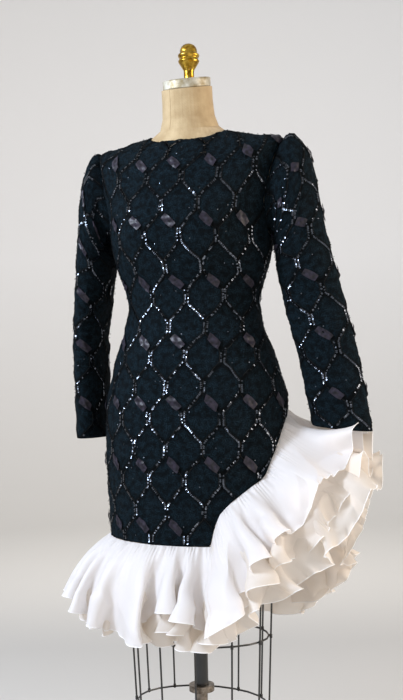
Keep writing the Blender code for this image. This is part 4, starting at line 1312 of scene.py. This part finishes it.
def crumples(lengths, shares, seed):
    """Small irregular folds with sharp ridges, from -1 to 1, that join up after one turn round the hem."""
    round_length = strip_ends[-1] - strip_ends[0]
    turns = 2 * math.pi * (lengths - strip_ends[0]) / round_length
    reach = round_length / (2 * math.pi * CRUMPLE_LENGTH)
    ring = [(reach * math.cos(turn), reach * math.sin(turn)) for turn in turns]
    soft = [[noise.noise(Vector((x, y, share * CRUMPLES_DOWN + seed))) for x, y in ring] for share in shares]
    return 1.4 * (1 - 2 * np.abs(np.array(soft))) - 1.0


def ruffle_points(lengths, shares, ply):
    """One ply's points by length along the hem and share of the way down to its edge."""
    round_angles = np.interp(lengths, seam_lengths, seam_angles)
    angles = wrapped(round_angles)
    up = hem_at("height", angles)
    out = body_normals(angles, up)
    flat_out = unit(out * np.array([1.0, 1.0, 0.0]))
    upright = np.array([0.0, 0.0, 1.0])
    along = unit(np.cross(upright, flat_out))
    sweep = np.radians(hem_at("sweep", angles))[:, None]
    down = np.sin(sweep) * along - np.cos(sweep) * upright
    seam_way = unit(seam_at(lengths + SEAM_REACH) - seam_at(lengths - SEAM_REACH))
    start = seam_at(lengths) + unit(np.cross(seam_way, out)) * RUFFLE_GAP
    flutes = {
        name: curve(round_angles, flute_columns["angle"], values) for name, values in flute_columns.items()
    }
    reach = flutes["reach"] + (1 - flutes["reach"]) * ply["evened"]
    depth = hem_at("depth", angles) * reach + ply["extra_depth"]
    first = np.radians(hem_at("flare_seam", angles))
    last = np.radians(hem_at("flare_edge", angles) + flutes["lift"] * ply["lift"])
    bend = last - first
    bend = np.where(np.abs(bend) < SMALLEST_BEND, SMALLEST_BEND, bend)
    share = shares[:, None]
    lean = first + bend * share
    straight = depth * (np.sin(lean) - np.sin(first)) / bend
    outward = depth * (np.cos(first) - np.cos(lean)) / bend
    facing = flat_out * np.cos(lean)[..., None] - down * np.sin(lean)[..., None]
    inset = ply["seam_inset"] + (ply["edge_inset"] - ply["seam_inset"]) * share
    order = np.arange(len(FLUTES), dtype=float)
    phase = 2 * math.pi * (curve(round_angles, flute_columns["angle"], order) + 0.25)
    phase = phase + ply["shift"] * share ** LAG_POWER
    height = flutes["height"] * ply["share"]
    curl, kick, skew = flutes["curl"], flutes["kick"], flutes["skew"]
    crest = np.sin(phase)
    along_seam = 2 * math.pi * lengths / GATHER_LENGTH
    gathers = np.sin(along_seam + 2.5 * np.sin(along_seam * 0.21)) + 0.8 * np.sin(along_seam * 0.43 + 1)
    kicked = 0.7 * kick * share ** KICK_POWER * np.maximum(crest, 0) ** 2
    swing = height * (share ** SWING_POWER * crest + kicked)
    swing = swing + RUFFLE_GATHER * np.exp(-share / GATHER_FADE) * gathers * (share > 0)
    lettuce = np.sin(2 * math.pi * lengths / LETTUCE_LENGTH + phase)
    rolled = LETTUCE_HEIGHT * np.exp(-((1 - share) / LETTUCE_REACH)) * lettuce
    aside_way = -curl * height * share ** CURL_POWER * np.sin(2 * phase)
    aside_way = aside_way + skew * height * share ** SKEW_POWER * crest
    off_seam = start + down * straight[..., None] + flat_out * outward[..., None]
    crumple = ply["crumple"] * share ** CRUMPLE_POWER
    swing = swing + crumple * 0.6 * crumples(lengths, shares, ply["shift"])
    aside_way = aside_way + crumple * crumples(lengths, shares, ply["shift"] + CRUMPLE_SEED_STEP)
    return off_seam + facing * (swing + rolled - inset)[..., None] + along * aside_way[..., None]


def add_organza(name, colour, roughness, soak_colour, soak_share, sheen, gloss):
    """A half see-through cloth, with a share of the light soaking through it in a colour of its own."""
    finish, shader = add_finish(
        name, colour, roughness, Sheen_Weight=sheen, Sheen_Roughness=0.3, Specular_IOR_Level=gloss
    )
    soak = add_node(finish, "BsdfTranslucent", {"Color": srgb(soak_colour)}, {})
    mixed = add_node(
        finish, "MixShader", {0: soak_share}, {1: shader.outputs["BSDF"], 2: soak.outputs["BSDF"]}
    )
    end = finish.node_tree.nodes["Material Output"]
    finish.node_tree.links.new(mixed.outputs["Shader"], end.inputs["Surface"])
    return finish


# Silk organza: crisp, bright and half see-through, so light soaks through each ply and folds glow; its fine
# threads give a soft silky sheen along the flutes. The under ply is the same silk, seen in the shade of the
# outer one and warmed by the light that comes through. Its copy here is given a warmer, slightly darker
# colour
# and a warmer glow through it: painted shade and a painted warm glow.
organza = add_organza("silk_organza", "#F6F5F8", 0.5, "#F3EEE8", 0.42, 0.3, 0.4)
under_organza_painted_shade = add_organza("silk_organza_under_ply_painted_shade", "#F4F0EC", 0.55, "#F1E8DC", 0.5, 0.25, 0.35)

# The rolled edge is the same silk wound over with thread, so it is denser and shinier than the cloth.
edge_thread = add_finish("silk_overlock_thread", "#FBFAFA", 0.35, Sheen_Weight=0.2)[0]
EDGE_RADIUS = 0.0008
EDGE_SIDES = 6

plies = [dict(zip(PLY_COLUMNS, row)) for row in PLIES]
for layer, tiers in (("", plies[:1]), ("under_", plies[2:0:-1])):
    for strip, first, last in zip(strips, strip_ends[:-1], strip_ends[1:]):
        lengths = np.linspace(first + STRIP_TRIM, last - STRIP_TRIM, int((last - first) / RUFFLE_STEP))
        # A folded layer goes up one tier to its gathering thread and down the other.
        shares = [np.linspace(1, 0, RUFFLE_ROWS), np.linspace(0, 1, RUFFLE_ROWS)]
        points = np.concatenate([ruffle_points(lengths, s, tier) for s, tier in zip(shares, tiers)])
        rounds, climbs = grid_cloth(points, len(lengths) // 2)
        places = np.stack([rounds, np.broadcast_to(climbs[:, None], rounds.shape)], axis=-1)
        name = layer + strip["name"]
        finish = under_organza_painted_shade if layer else organza
        cloth = add_mesh("organza_" + name, points, grid_faces(*points.shape[:2]), finish, places)
        edges = [tube(points[row], EDGE_RADIUS, EDGE_SIDES) for row in (0, -1)[:len(tiers)]]
        edge = add_joined("rolled_edge_" + name, edges, edge_thread)
        deep = float(climbs[-1])
        for piece in (cloth, edge):
            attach(piece, "form")
        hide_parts(name)
